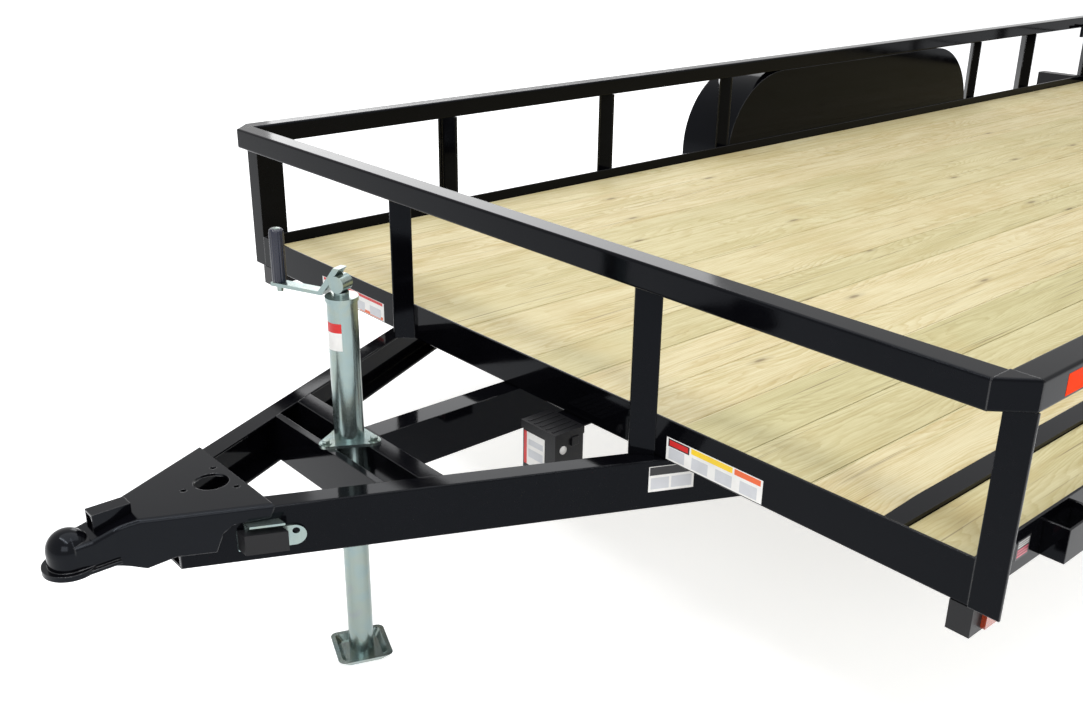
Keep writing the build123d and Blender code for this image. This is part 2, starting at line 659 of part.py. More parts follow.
def coupler_block(wall, roof):
    """Space inside the outlines moved in by wall and roof, rounded where the neck widens."""
    block = coupler_plan(wall) & coupler_side(roof, roof)
    neck = block.edges().filter_by(Axis.Z).group_by(Axis.Y)[1]
    return fillet(neck, COUPLER_NECK_ROUND + wall)


def coupler():
    """A-frame coupler: plate and skirts over the rails' front ends, and a dome over the ball."""
    body = coupler_block(0, 0)
    ribs = body.edges().filter_by(Axis.X, reverse=True).filter_by(lambda edge: edge.center().Z > DOME_Z)
    body = fillet(ribs, COUPLER_RIB_ROUND)
    lip = DOME_RADIUS + NECK_LIP
    body += box(-lip, lip, COUPLER_BALL_Y, COUPLER_BALL_Y + NECK_LIP_LENGTH,
                LIP_BOTTOM, LIP_BOTTOM + NECK_LIP_WALL)
    body -= coupler_block(COUPLER_WALL, COUPLER_TOP)
    rear = [(COUPLER_REAR_Y - forward, PLATE_TOP - drop) for forward, drop in SKIRT_REAR]
    deepest = SKIRT_REAR[-1][1]
    body -= prism_x(rear + [(COUPLER_REAR_Y, PLATE_TOP - deepest)], -HALF, HALF)
    ball = Pos(0, COUPLER_BALL_Y, DOME_Z)
    body += ball * Sphere(DOME_RADIUS) - box(-HALF, HALF, NOSE_Y, 0, GROUND, DOME_Z)
    body += rod_z(DOME_RADIUS, LIP_BOTTOM, DOME_Z, 0, COUPLER_BALL_Y)
    body += rod_z(DOME_RADIUS + NOSE_LIP, LIP_BOTTOM, LIP_BOTTOM + NOSE_LIP_WALL, 0, COUPLER_BALL_Y)
    body -= rod_z(BALL_SOCKET, LIP_BOTTOM, DOME_Z, 0, COUPLER_BALL_Y)
    body -= ball * Sphere(BALL_SOCKET)
    body -= rod_z(JACK_HOLE_RADIUS, TONGUE_TOP, PLATE_TOP, 0, JACK_HOLE_Y)
    for n in range(JACK_BOLT_COUNT):
        turn = radians(360 * n / JACK_BOLT_COUNT - 90)
        r = JACK_BOLT_PCD / 2
        body -= rod_z(JACK_BOLT_RADIUS, TONGUE_TOP, PLATE_TOP, r * cos(turn), JACK_HOLE_Y + r * sin(turn))
    return body


def coupler_latch():
    """Channel lever that straddles the neck behind the dome, its rear end on the plate."""
    y0 = COUPLER_BALL_Y + LATCH_FRONT
    y1 = y0 + LATCH_LENGTH
    top = PLATE_TOP + LATCH_RISE
    low = PLATE_TOP - COUPLER_PROFILE[-1][1]
    outer = box(-LATCH_HALF_WIDTH, LATCH_HALF_WIDTH, y0, y1, low, top)
    inner = box(LATCH_WALL - LATCH_HALF_WIDTH, LATCH_HALF_WIDTH - LATCH_WALL, y0, y1, low, top - LATCH_WALL)
    return outer - inner - coupler_side(0, 0)


# --- jack -----------------------------------------------------------------------------------------
def jack_tube():
    """Outer tube with the three-lobed flange that sits on the tray."""
    body = rod_z(JACK_RADIUS, JACK_BOTTOM, JACK_TOP, 0, JACK_Y)
    lobes = [radians(360 * n / JACK_BOLT_COUNT - 90) for n in range(JACK_BOLT_COUNT)]
    corners = [(JACK_FLANGE_REACH * cos(a), JACK_Y + JACK_FLANGE_REACH * sin(a)) for a in lobes]
    flange = prism_z(corners, TONGUE_TOP, TONGUE_TOP + JACK_FLANGE_WALL)
    body += fillet(flange.edges().filter_by(Axis.Z), JACK_FLANGE_ROUND)
    return body - rod_z(JACK_RADIUS - JACK_WALL, JACK_BOTTOM, JACK_TOP, 0, JACK_Y)


def jack_head():
    head = rod_z(JACK_HEAD_RADIUS, JACK_TOP, JACK_TOP + JACK_HEAD_HEIGHT, 0, JACK_Y)
    return head + rod_z(SCREW_RADIUS, JACK_TOP + JACK_HEAD_HEIGHT, SCREW_TOP, 0, JACK_Y)


def in_crank_frame(shape):
    """Moved from the crank's own frame, whose +X runs along its arm, to the top of the jack."""
    return Pos(0, JACK_Y, SCREW_TOP) * Rot(0, 0, CRANK_ANGLE) * shape


def jack_crank():
    """Flat bar that leaves a round boss on the screw's end, steps down and runs out to the grip."""
    out = CRANK_REACH + CRANK_WIDTH / 2
    wall, half = CRANK_WALL, CRANK_WIDTH / 2
    high = -CRANK_DROP
    low = high - wall
    outline = [(-wall, CRANK_RISE), (wall, CRANK_RISE), (CRANK_KNEE, high), (out, high), (out, low),
               (CRANK_KNEE - wall, low)]
    bar = prism_y(outline, -half, half)
    boss = Pos(0, 0, BOSS_RADIUS) * Rot(90, 0, 0) * Cylinder(BOSS_RADIUS, BOSS_LENGTH)
    bolt = rod_z(GRIP_BOLT_RADIUS, low - GRIP_BOLT_LENGTH, low, CRANK_REACH, 0)
    return in_crank_frame(bar + boss + bolt)


def jack_grip():
    z = GRIP_GAP - CRANK_DROP + GRIP_LENGTH / 2
    return in_crank_frame(Pos(CRANK_REACH, 0, z) * Cylinder(GRIP_RADIUS, GRIP_LENGTH))


def jack_leg():
    """Drop leg that slides in the jack's tube, with a square dish for a foot."""
    leg = rod_z(LEG_RADIUS, GROUND + FOOT_WALL, LEG_TOP, 0, JACK_Y)
    leg -= rod_z(LEG_RADIUS - LEG_WALL, GROUND + FOOT_WALL, LEG_TOP, 0, JACK_Y)
    dish = foot_block(0, 0) - foot_block(FOOT_WALL, FOOT_WALL)
    return leg + Pos(0, JACK_Y, GROUND) * Rot(0, 0, FOOT_TURN) * dish


def foot_block(inset, lift):
    """Square block that widens from the foot's seat to its rim, moved in and up by a wall."""
    sides = []
    for size, z in ((FOOT_SEAT, 0), (FOOT_SIZE, FOOT_RIM)):
        side = size - 2 * inset
        sides.append(Plane.XY.offset(z + lift) * RectangleRounded(side, side, FOOT_ROUND - inset))
    return loft(sides)


# --- tongue equipment -----------------------------------------------------------------------------
def battery_box():
    (x0, x1), (y0, y1) = BATTERY_X, BATTERY_Y
    low, wall = BATTERY_RIM - BATTERY_HEIGHT, BATTERY_WALL
    hollow = box(x0 + wall, x1 - wall, y0 + wall, y1 - wall, low + wall, BATTERY_RIM)
    return box(x0, x1, y0, y1, low, BATTERY_RIM) - hollow


def battery_lid():
    (x0, x1), (y0, y1) = BATTERY_X, BATTERY_Y
    over = LID_OVERHANG
    return box(x0 - over, x1 + over, y0 - over, y1, BATTERY_RIM, BATTERY_RIM + LID_HEIGHT)


def battery_bracket():
    """Angle under the front beam that the box is fastened to."""
    x0, x1 = BATTERY_X[0] + BRACKET_INSET, BATTERY_X[1] - BRACKET_INSET
    front, wall, top = BATTERY_Y[1], BRACKET_WALL, TONGUE_TOP
    upright = box(x0, x1, front, front + wall, top - BRACKET_HEIGHT, top)
    return upright + box(x0, x1, front, BRACKET_SEAT, top - wall, top)


def breakaway_switch():
    """Switch on the tab's outer face."""
    z0, z1 = (TONGUE_BOTTOM + z for z in SWITCH_Z)
    return tongue_strip(*SWITCH_Y, -TAB_WALL - SWITCH_DEPTH, -TAB_WALL, z0, z1)


def switch_tab():
    """Plate between the switch and the tongue rail, folded out above the switch, with a round rear end."""
    z0, z1 = (TONGUE_BOTTOM + z for z in TAB_Z)
    half = (z1 - z0) / 2
    eye = TAB_REAR_Y - half
    outline = box(0, HALF, SWITCH_Y[0], eye, z0, z1) + rod_x(half, 0, HALF, eye, z0 + half)
    tab = tongue_strip(SWITCH_Y[0], TAB_REAR_Y, -TAB_WALL, 0, z0, z1) & outline
    fold = TONGUE_BOTTOM + FOLD_TOP
    tab += tongue_strip(*FOLD_Y, -TAB_WALL, 0, z0, fold)
    tab += tongue_strip(*FOLD_Y, -FOLD_DEPTH, 0, fold - TAB_WALL, fold)
    hole_y, hole_z = TAB_HOLE
    return tab - rod_x(TAB_HOLE_RADIUS, 0, HALF, hole_y, TONGUE_BOTTOM + hole_z)


# --- lamps ----------------------------------------------------------------------------------------
def lamp_housings():
    front = box(*MARKER_X, 0, MARKER_LENGTH, TONGUE_TOP - MARKER_HEIGHT, TONGUE_TOP)
    rear = box(HALF, HALF + TAIL_LENGTH, *TAIL_Y, *TAIL_Z)
    return both(front, rear)


def amber_lenses():
    x1 = MARKER_X[1]
    edge = LENS_MARGIN / 2
    z0, z1 = TONGUE_TOP - MARKER_HEIGHT + edge, TONGUE_TOP - edge
    return both(box(x1, x1 + LENS, MARKER_LENS_SHARE * MARKER_LENGTH, MARKER_LENGTH - edge, z0, z1))


def red_lenses():
    x0, x1 = HALF + 2 * LENS_MARGIN, HALF + TAIL_LENGTH - LENS_MARGIN
    lens = box(x0, x1, TAIL_Y[1], TAIL_Y[1] + LENS, TAIL_Z[0] + LENS_MARGIN, TAIL_Z[1] - LENS_MARGIN)
    return both(lens)


# --- axles and springs ----------------------------------------------------------------------------
def axle(y):
    tube = rod_x(AXLE_RADIUS, -PLATE_X, PLATE_X, y, AXLE_Z)
    spindle = rod_x(SPINDLE_RADIUS, PLATE_X, WHEEL_X + HUB_NOSE - CAP_WALL * 2, y, AXLE_Z)
    return tube + spindle + mirror_x(spindle)


def axles():
    return Compound(children=[axle(y) for y in AXLE_YS])


def backing_plates():
    x0, x1 = PLATE_X, PLATE_X + PLATE_WALL
    return both(*(rod_x(PLATE_RADIUS, x0, x1, y, AXLE_Z) - rod_x(SPINDLE_RADIUS, x0, x1, y, AXLE_Z)
                  for y in AXLE_YS))


def leaf_face(radius_in, radius_out, half_angle, y, z_centre):
    """One leaf from the side: the band between two arcs about a centre above it."""
    def at(radius, turn):
        return (y + radius * sin(turn), z_centre - radius * cos(turn))
    return make_face([
        ThreePointArc(at(radius_out, -half_angle), at(radius_out, 0), at(radius_out, half_angle)),
        Line(at(radius_out, half_angle), at(radius_in, half_angle)),
        ThreePointArc(at(radius_in, half_angle), at(radius_in, 0), at(radius_in, -half_angle)),
        Line(at(radius_in, -half_angle), at(radius_out, -half_angle)),
    ])


def leaf_spring(y):
    x0, x1 = SPRING_X - SPRING_WIDTH / 2, SPRING_X + SPRING_WIDTH / 2
    z_centre = EYE_Z - SPRING_ARCH + ARC_RADIUS
    half_angle = asin(SPRING_SPAN / 2 / ARC_RADIUS)
    spring = None
    for n, share in enumerate(LEAF_SHARES):
        inner = ARC_RADIUS - LEAF / 2 + n * LEAF
        face = leaf_face(inner, inner + LEAF, half_angle * share, y, z_centre)
        leaf = extrude(Plane.YZ.offset(x0) * face, amount=x1 - x0, dir=(1, 0, 0))
        spring = leaf if spring is None else spring + leaf
    for end in (-1, 1):
        eye_y = y + end * SPRING_SPAN / 2
        spring += rod_x(EYE_RADIUS, x0, x1, eye_y, EYE_Z)
    for end in (-1, 1):
        spring -= rod_x(EYE_BORE, x0, x1, y + end * SPRING_SPAN / 2, EYE_Z)
    return spring


def leaf_springs():
    return both(*(leaf_spring(y) for y in AXLE_YS))


def hanger(y, z_pin):
    """Two cheeks under the side rail with a bolt through them."""
    x0 = SPRING_X - SPRING_WIDTH / 2 - HANGER_GAP
    x1 = SPRING_X + SPRING_WIDTH / 2 + HANGER_GAP
    top = -RAIL_HEIGHT
    low = z_pin - HANGER_TIP
    half = HANGER_LENGTH / 2
    outline = [(y - half, top), (y + half, top), (y + HANGER_TIP, low), (y - HANGER_TIP, low)]
    body = prism_x(outline, x0 - HANGER_WALL, x0) + prism_x(outline, x1, x1 + HANGER_WALL)
    body += box(x0 - HANGER_WALL, x1 + HANGER_WALL, y - half, y + half, top - HANGER_WALL, top)
    body += rod_x(EYE_BORE - BOLT_CLEARANCE, x0 - HANGER_WALL - BOLT_HEAD, x1 + HANGER_WALL + BOLT_HEAD,
                  y, z_pin)
    return body


def spring_hangers():
    ends = [AXLE_YS[0] - SPRING_SPAN / 2, AXLE_YS[1] + SPRING_SPAN / 2]
    return both(*(hanger(y, EYE_Z) for y in (*ends, AXLE_MID_Y)))


def equalizer():
    """Rocker between a side's two springs: links beside the springs' eyes and a body on the middle bolt."""
    inner, outer = SPRING_X - SPRING_WIDTH / 2, SPRING_X + SPRING_WIDTH / 2
    far_inner, far_outer = inner - LINK_GAP - LINK_WALL, outer + LINK_GAP + LINK_WALL
    z0, z1 = EYE_Z - EYE_RADIUS, EYE_Z + EYE_RADIUS
    rocker = box(inner, outer, AXLE_MID_Y - ROCKER_HALF, AXLE_MID_Y + ROCKER_HALF, z0, z1)
    for end in (-1, 1):
        near = AXLE_MID_Y + end * (HANGER_LENGTH / 2 + LINK_CLEARANCE)
        pin_y = AXLE_MID_Y + end * EQUALIZER_HALF
        far = pin_y + end * EYE_RADIUS
        for x0, x1 in ((far_inner, inner - LINK_GAP), (outer + LINK_GAP, far_outer)):
            rocker += box(x0, x1, *sorted((near, far)), z0, z1)
        rocker += box(far_inner, far_outer, *sorted((near, near + end * LINK_WALL)), z0, z1)
        rocker += box(inner, outer, *sorted((near, AXLE_MID_Y + end * ROCKER_HALF)), z0, z1)
        rocker += rod_x(EYE_BORE - BOLT_CLEARANCE, far_inner, far_outer, pin_y, EYE_Z)
    rocker -= rod_x(EYE_BORE, inner, outer, AXLE_MID_Y, EYE_Z)
    return rocker


def equalizers():
    return both(equalizer())


def axle_seats():
    """Seat on the axle under each spring."""
    x0, x1 = SPRING_X - SPRING_WIDTH / 2, SPRING_X + SPRING_WIDTH / 2
    half, top = SEAT_LENGTH / 2, SEAT_Z + SEAT_HEIGHT
    return both(*(box(x0, x1, y - half, y + half, AXLE_Z, top) - rod_x(AXLE_RADIUS, x0, x1, y, AXLE_Z)
                  for y in AXLE_YS))


def u_bolts():
    """Two bolts round the axle at each spring, and the tie plate over the spring that they draw down."""
    reach = AXLE_RADIUS + U_BOLT_RADIUS
    plate_z = SEAT_Z + SEAT_HEIGHT + PACK + TIE_PLATE_GAP
    plate_top = plate_z + TIE_PLATE_WALL
    offset = SPRING_WIDTH / 2 + U_BOLT_GAP + U_BOLT_RADIUS
    sets = []
    for y in AXLE_YS:
        clamp = box(SPRING_X - offset - 2 * U_BOLT_RADIUS, SPRING_X + offset + 2 * U_BOLT_RADIUS,
                    y - reach - 2 * U_BOLT_RADIUS, y + reach + 2 * U_BOLT_RADIUS, plate_z, plate_top)
        for x in (SPRING_X - offset, SPRING_X + offset):
            ring = Pos(x, y, AXLE_Z) * Rot(0, 90, 0) * Torus(reach, U_BOLT_RADIUS)
            upper = box(x - reach, x + reach, y - 2 * reach, y + 2 * reach, AXLE_Z, AXLE_Z + 2 * reach)
            clamp += ring - upper
            for leg_y in (y - reach, y + reach):
                clamp += rod_z(U_BOLT_RADIUS, AXLE_Z, plate_top + BOLT_END, x, leg_y)
        sets.append(clamp)
    return both(*sets)


# --- wheels ---------------------------------------------------------------------------------------
def revolve_about_axle(face):
    """Face drawn with x along the axle and y as the radius."""
    return revolve(face, axis=Axis.X, revolution_arc=360)


def tyre():
    half = TYRE_WIDTH / 2
    seat = RIM_WIDTH / 2
    tread = half - TYRE_SHOULDER
    crown = TYRE_RADIUS
    shoulder = TYRE_RADIUS - TYRE_CROWN
    bead = RIM_RADIUS + RIM_FLANGE
    mid = (bead + shoulder) / 2
    face = make_face([
        Line((-seat, RIM_RADIUS), (seat, RIM_RADIUS)),
        Line((seat, RIM_RADIUS), (seat, bead)),
        ThreePointArc((seat, bead), (half, mid), (tread, shoulder)),
        ThreePointArc((tread, shoulder), (0, crown), (-tread, shoulder)),
        ThreePointArc((-tread, shoulder), (-half, mid), (-seat, bead)),
        Line((-seat, bead), (-seat, RIM_RADIUS)),
    ])
    return revolve_about_axle(face)


def along_x(radius, x0, x1):
    """Round bar on the wheel's own axis, measured from its middle plane."""
    return Pos((x0 + x1) / 2, 0, 0) * Rot(0, 90, 0) * Cylinder(radius, x1 - x0)


def around(count, radius, shape, first=0.0):
    """Copies of a piece at a radius about the wheel's axis."""
    return [Rot(first + 360 * n / count, 0, 0) * Pos(0, 0, radius) * shape for n in range(count)]


def rim():
    """Pressed steel wheel: barrel with two flanges, disc with windows, lug holes and a centre hole."""
    seat = RIM_WIDTH / 2
    wheel = along_x(RIM_RADIUS, -seat, seat)
    for x0, x1 in ((-seat - RIM_LIP, -seat), (seat, seat + RIM_LIP)):
        wheel += along_x(RIM_RADIUS + RIM_FLANGE, x0, x1)
    wheel -= along_x(RIM_RADIUS - RIM_WALL, -seat - RIM_LIP, seat + RIM_LIP)
    disc = along_x(RIM_RADIUS - RIM_WALL, DISC_OFFSET, DISC_OFFSET + DISC_WALL)
    disc -= along_x(HUB_RADIUS + STUD_CLEARANCE, DISC_OFFSET, DISC_OFFSET + DISC_WALL)
    window = along_x(WINDOW_RADIUS, DISC_OFFSET, DISC_OFFSET + DISC_WALL)
    hole = along_x(STUD_RADIUS + STUD_CLEARANCE, DISC_OFFSET, DISC_OFFSET + DISC_WALL)
    windows = around(WINDOW_COUNT, WINDOW_CIRCLE, window, 180 / WINDOW_COUNT)
    for cut in windows + around(LUG_COUNT, LUG_PCD / 2, hole):
        disc -= cut
    return wheel + disc


def hub():
    """Brake drum and hub, with the wheel's studs, nuts and dust cap."""
    inner = DISC_OFFSET - DRUM_LENGTH
    body = along_x(DRUM_RADIUS, inner, DISC_OFFSET)
    body -= along_x(DRUM_RADIUS - DRUM_WALL, inner, DISC_OFFSET - DRUM_WALL)
    body += along_x(HUB_RADIUS, inner, HUB_NOSE)
    body -= along_x(SPINDLE_RADIUS + SPINDLE_CLEARANCE, inner, HUB_NOSE - CAP_WALL)
    face = DISC_OFFSET + DISC_WALL
    stud = along_x(STUD_RADIUS, DISC_OFFSET, face) + along_x(NUT_RADIUS, face, face + NUT_LENGTH)
    for lug in around(LUG_COUNT, LUG_PCD / 2, stud):
        body += lug
    return body


# --- ramp gate ------------------------------------------------------------------------------------
def gate_bar(x0, x1, z0, z1):
    """Length of the gate's square tube between two corners, in the gate's plane."""
    return box(x0, x1, GATE_Y, GATE_Y + GATE_TUBE, z0, z1)


def upright_xs():
    return [-GATE_HALF + 2 * GATE_HALF * (n + 1) / (GATE_UPRIGHTS + 1) for n in range(GATE_UPRIGHTS)]


def gate_frame():
    """Gate's outer frame and uprights, with its half of each hinge."""
    x, z0, z1 = GATE_HALF, GATE_BOTTOM, GATE_BOTTOM + GATE_HEIGHT
    frame = gate_bar(-x, x, z0, z0 + GATE_TUBE) + gate_bar(-x, x, z1 - GATE_TUBE, z1)
    edge = x - GATE_TUBE / 2
    for middle in (-edge, *upright_xs(), edge):
        frame += gate_bar(middle - GATE_TUBE / 2, middle + GATE_TUBE / 2, z0, z1)
    for hx in HINGE_X:
        end = hx + HINGE_LENGTH / 2
        ear = rod_x(HINGE_RADIUS, hx, end, HINGE_Y, HINGE_Z)
        ear += box(hx, end, HINGE_Y - HINGE_EAR_WALL / 2, HINGE_Y + HINGE_EAR_WALL / 2, HINGE_Z, z0)
        ear -= rod_x(HINGE_PIN + HINGE_CLEARANCE, hx, end, HINGE_Y, HINGE_Z)
        frame += ear
    return frame


def gate_bars():
    """Flat cross bars between each pair of uprights."""
    walls = [GATE_TUBE - GATE_HALF, *upright_xs(), GATE_HALF - GATE_TUBE]
    middle = HINGE_Y
    bars = []
    for n, (left, right) in enumerate(zip(walls, walls[1:])):
        start = left + (GATE_TUBE / 2 if n > 0 else 0)
        end = right - (GATE_TUBE / 2 if n < GATE_UPRIGHTS else 0)
        for k in range(GATE_BARS):
            z = GATE_BOTTOM + GATE_HEIGHT * (k + 1) / (GATE_BARS + 1)
            bars.append(box(start, end, middle - GATE_BAR_DEPTH / 2, middle + GATE_BAR_DEPTH / 2,
                            z - GATE_BAR_HEIGHT / 2, z + GATE_BAR_HEIGHT / 2))
    return Compound(children=bars)


def gate_hinges():
    """Lugs on the rear beam with their pins, which the gate turns on."""
    lugs = []
    for hx in HINGE_X:
        x0 = hx - HINGE_LENGTH / 2
        lug = rod_x(HINGE_RADIUS, x0, hx - HINGE_LUG_GAP, HINGE_Y, HINGE_Z)
        lug += box(x0, hx - HINGE_LUG_GAP, BED_LENGTH, HINGE_Y,
                   HINGE_Z - HINGE_EAR_WALL / 2, HINGE_Z + HINGE_EAR_WALL / 2)
        lug += rod_x(HINGE_PIN, x0, hx + HINGE_LENGTH / 2, HINGE_Y, HINGE_Z)
        lugs.append(lug)
    return Compound(children=lugs)


def gate_latches():
    """Rod inside each top rail that slides rearwards into the gate, in two eyes, with a handle."""
    x = HALF - LATCH_ROD_INSET
    z = RAIL_BOTTOM + LATCH_ROD_RISE
    front = BED_LENGTH - LATCH_ROD_SETBACK
    wide = LATCH_HANDLE_WIDTH / 2
    start, end = front + wide, GATE_Y - LATCH_ROD_CLEARANCE
    latch = Pos(x, (start + end) / 2, z) * Rot(90, 0, 0) * Cylinder(LATCH_ROD_RADIUS, end - start)
    latch += box(x - wide, x + wide, front, front + 2 * wide, z - LATCH_HANDLE, z + wide)
    half = LATCH_EYE_SIZE / 2
    for setback in LATCH_EYES:
        y = BED_LENGTH - setback
        latch += box(x - half, HALF, y, y + LATCH_EYE_WALL, z - half, z + half)
    return both(latch)


def build():
    pieces = {
        "front_beam": front_beam(),
        "rear_beam": rear_beam(),
        "side_rails": side_rails(),
        "cross_members": cross_members(),
        "deck_boards": deck_boards(),
        "deck_strip": deck_strip(),
        "top_rail_front": top_rail_front(),
        "top_rails": top_rails(),
        "corner_caps": corner_caps(),
        "front_posts": front_posts(),
        "side_posts": side_posts(),
        "stake_pockets": stake_pockets(),
        "fenders": fenders(),
        "tongue_rails": tongue_rails(),
        "jack_tray": jack_tray(),
        "tongue_stringer": tongue_stringer(),
        "coupler": coupler(),
        "coupler_latch": coupler_latch(),
        "jack_tube": jack_tube(),
        "jack_head": jack_head(),
        "jack_crank": jack_crank(),
        "jack_grip": jack_grip(),
        "jack_leg": jack_leg(),
        "battery_box": battery_box(),
        "battery_lid": battery_lid(),
        "battery_bracket": battery_bracket(),
        "breakaway_switch": breakaway_switch(),
        "switch_tab": switch_tab(),
        "lamp_housings": lamp_housings(),
        "amber_lenses": amber_lenses(),
        "red_lenses": red_lenses(),
        "axles": axles(),
        "backing_plates": backing_plates(),
        "leaf_springs": leaf_springs(),
        "spring_hangers": spring_hangers(),
        "axle_seats": axle_seats(),
        "u_bolts": u_bolts(),
        "gate_hinges": gate_hinges(),
        "equalizers": equalizers(),
        "gate_frame": gate_frame(),
        "gate_bars": gate_bars(),
        "gate_latches": gate_latches(),
    }
    wheel = {"tyre": tyre(), "rim": rim(), "hub": hub()}
    for end, y in zip(("front", "rear"), AXLE_YS):
        for part, shape in wheel.items():
            placed = Pos(WHEEL_X, y, AXLE_Z) * shape
            pieces[f"{part}_{end}_left"] = placed
            pieces[f"{part}_{end}_right"] = mirror_x(placed)
    return pieces


os.makedirs("parts", exist_ok=True)
to_origin = Pos(0, -(NOSE_Y + REAR_Y) / 2, LIP_HEIGHT)
for node, shape in build().items():
    export_step(to_origin * shape, "parts/" + node + ".step")
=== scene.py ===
import json
import math
import random

import bmesh
import bpy
from mathutils import Matrix, Vector

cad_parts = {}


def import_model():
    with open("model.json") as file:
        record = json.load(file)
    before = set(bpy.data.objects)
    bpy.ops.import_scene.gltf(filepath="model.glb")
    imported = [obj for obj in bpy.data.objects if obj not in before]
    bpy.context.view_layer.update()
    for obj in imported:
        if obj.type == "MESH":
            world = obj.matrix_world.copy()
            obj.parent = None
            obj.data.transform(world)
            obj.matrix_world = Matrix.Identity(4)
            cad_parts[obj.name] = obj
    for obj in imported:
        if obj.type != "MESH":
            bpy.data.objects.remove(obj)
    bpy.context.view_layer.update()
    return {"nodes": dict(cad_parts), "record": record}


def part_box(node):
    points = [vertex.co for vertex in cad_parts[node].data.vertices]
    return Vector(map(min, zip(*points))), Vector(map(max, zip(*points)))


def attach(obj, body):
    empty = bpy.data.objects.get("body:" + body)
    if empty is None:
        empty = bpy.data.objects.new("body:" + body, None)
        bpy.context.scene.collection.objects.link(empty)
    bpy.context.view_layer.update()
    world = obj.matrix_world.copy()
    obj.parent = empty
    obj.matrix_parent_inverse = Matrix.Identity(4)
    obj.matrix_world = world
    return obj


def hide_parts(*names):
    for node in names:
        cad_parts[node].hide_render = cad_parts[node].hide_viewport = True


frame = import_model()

# Deck frame, as in the part's source: millimetres from the front beam's top edge at the middle.
BEAM_LOW, BEAM_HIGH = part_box("front_beam")
ORIGIN = Vector((0.0, BEAM_LOW.y, BEAM_HIGH.z))
MM = 0.001
HALF = BEAM_HIGH.x / MM
NODES = frame["nodes"]
SLOT_OF = {row["node"]: row["material_slot"] for row in frame["record"]["subparts"]}


def place(point):
    """A point of the deck frame in the row frame, in metres."""
    return ORIGIN + Vector(point) * MM


def deck_box(node):
    """A CAD node's two corners in the deck frame."""
    low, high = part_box(node)
    return (low - ORIGIN) / MM, (high - ORIGIN) / MM


# --- materials ------------------------------------------------------------------------------------
class Finish:
    """A material with short ways to add and join its nodes."""

    def __init__(self, name):
        self.mat = bpy.data.materials.new(name)
        self.mat.use_nodes = True
        self.tree = self.mat.node_tree
        self.shader = self.tree.nodes["Principled BSDF"]
        self.coords = self.tree.nodes.new("ShaderNodeTexCoord").outputs["Object"]

    def node(self, kind, inputs=None, **settings):
        made = self.tree.nodes.new(kind)
        for key, value in settings.items():
            setattr(made, key, value)
        for key, value in (inputs or {}).items():
            self.feed(made.inputs[key], value)
        return made

    def feed(self, socket, value):
        if isinstance(value, bpy.types.NodeSocket):
            self.tree.links.new(value, socket)
        else:
            socket.default_value = value

    def set(self, **values):
        for key, value in values.items():
            self.feed(self.shader.inputs[key.replace("_", " ")], value)
        return self

    def stretch(self, scale, source=None):
        return self.node("ShaderNodeMapping", {"Vector": source or self.coords, "Scale": scale}).outputs[0]

    def noise(self, scale, detail=3.0, rough=0.5, vector=None, warp=0.0):
        made = self.node("ShaderNodeTexNoise", {"Vector": vector or self.coords, "Scale": scale,
                                                "Detail": detail, "Roughness": rough, "Distortion": warp})
        return made.outputs["Fac"]

    def ramp(self, value, *stops, hold=False):
        """Colour ramp: stops of (place, grey or colour)."""
        made = self.node("ShaderNodeValToRGB", {"Fac": value})
        made.color_ramp.interpolation = "CONSTANT" if hold else "LINEAR"
        elements = made.color_ramp.elements
        while len(elements) < len(stops):
            elements.new(1.0)
        for element, (spot, tone) in zip(elements, stops):
            element.position = spot
            element.color = (*tone, 1) if isinstance(tone, tuple) else (tone, tone, tone, 1)
        return made.outputs["Color"]

    def map(self, value, low, high, to_low, to_high):
        made = self.node("ShaderNodeMapRange", {"Value": value, "From Min": low, "From Max": high,
                                                "To Min": to_low, "To Max": to_high})
        return made.outputs["Result"]

    def math(self, operation, first, second=0.0):
        made = self.node("ShaderNodeMath", operation=operation)
        self.feed(made.inputs[0], first)
        self.feed(made.inputs[1], second)
        return made.outputs[0]

    def mix(self, share, first, second):
        made = self.node("ShaderNodeMix", data_type="RGBA")
        colours = [s for s in made.inputs if s.type == "RGBA"]
        self.feed(made.inputs[0], share)
        for socket, colour in zip(colours, (first, second)):
            self.feed(socket, (*colour, 1) if isinstance(colour, tuple) else colour)
        return next(s for s in made.outputs if s.type == "RGBA")

    def bump(self, height, strength, distance, normal=None):
        made = self.node("ShaderNodeBump", {"Height": height, "Strength": strength, "Distance": distance})
        if normal is not None:
            self.feed(made.inputs["Normal"], normal)
        return made.outputs["Normal"]

    def axis(self, letter, source=None):
        made = self.node("ShaderNodeSeparateXYZ", {"Vector": source or self.coords})
        return made.outputs[letter.upper()]


def srgb(red, green, blue):
    """Linear colour of an 8-bit one."""
    def one(level):
        level /= 255
        return level / 12.92 if level <= 0.04045 else ((level + 0.055) / 1.055) ** 2.4
    return (one(red), one(green), one(blue))


EDGE_SOFTNESS = 2.5           # mm, the round that the paint gives to the steel's edges
EDGE_COAT = 0.85              # weight of the coat on that round
EDGE_COAT_ROUGHNESS = 0.08
ROUND_FULL, ROUND_NONE = 0.90, 0.995    # cosine from face to round where the coat is full, and none
GLOSS_TINT = (0.80, 0.88, 1.0)
DUST = (0.030, 0.029, 0.028)
DUST_SHARE = 0.05
PEEL_HEIGHT, GRIT_HEIGHT = 0.0006, 0.0004


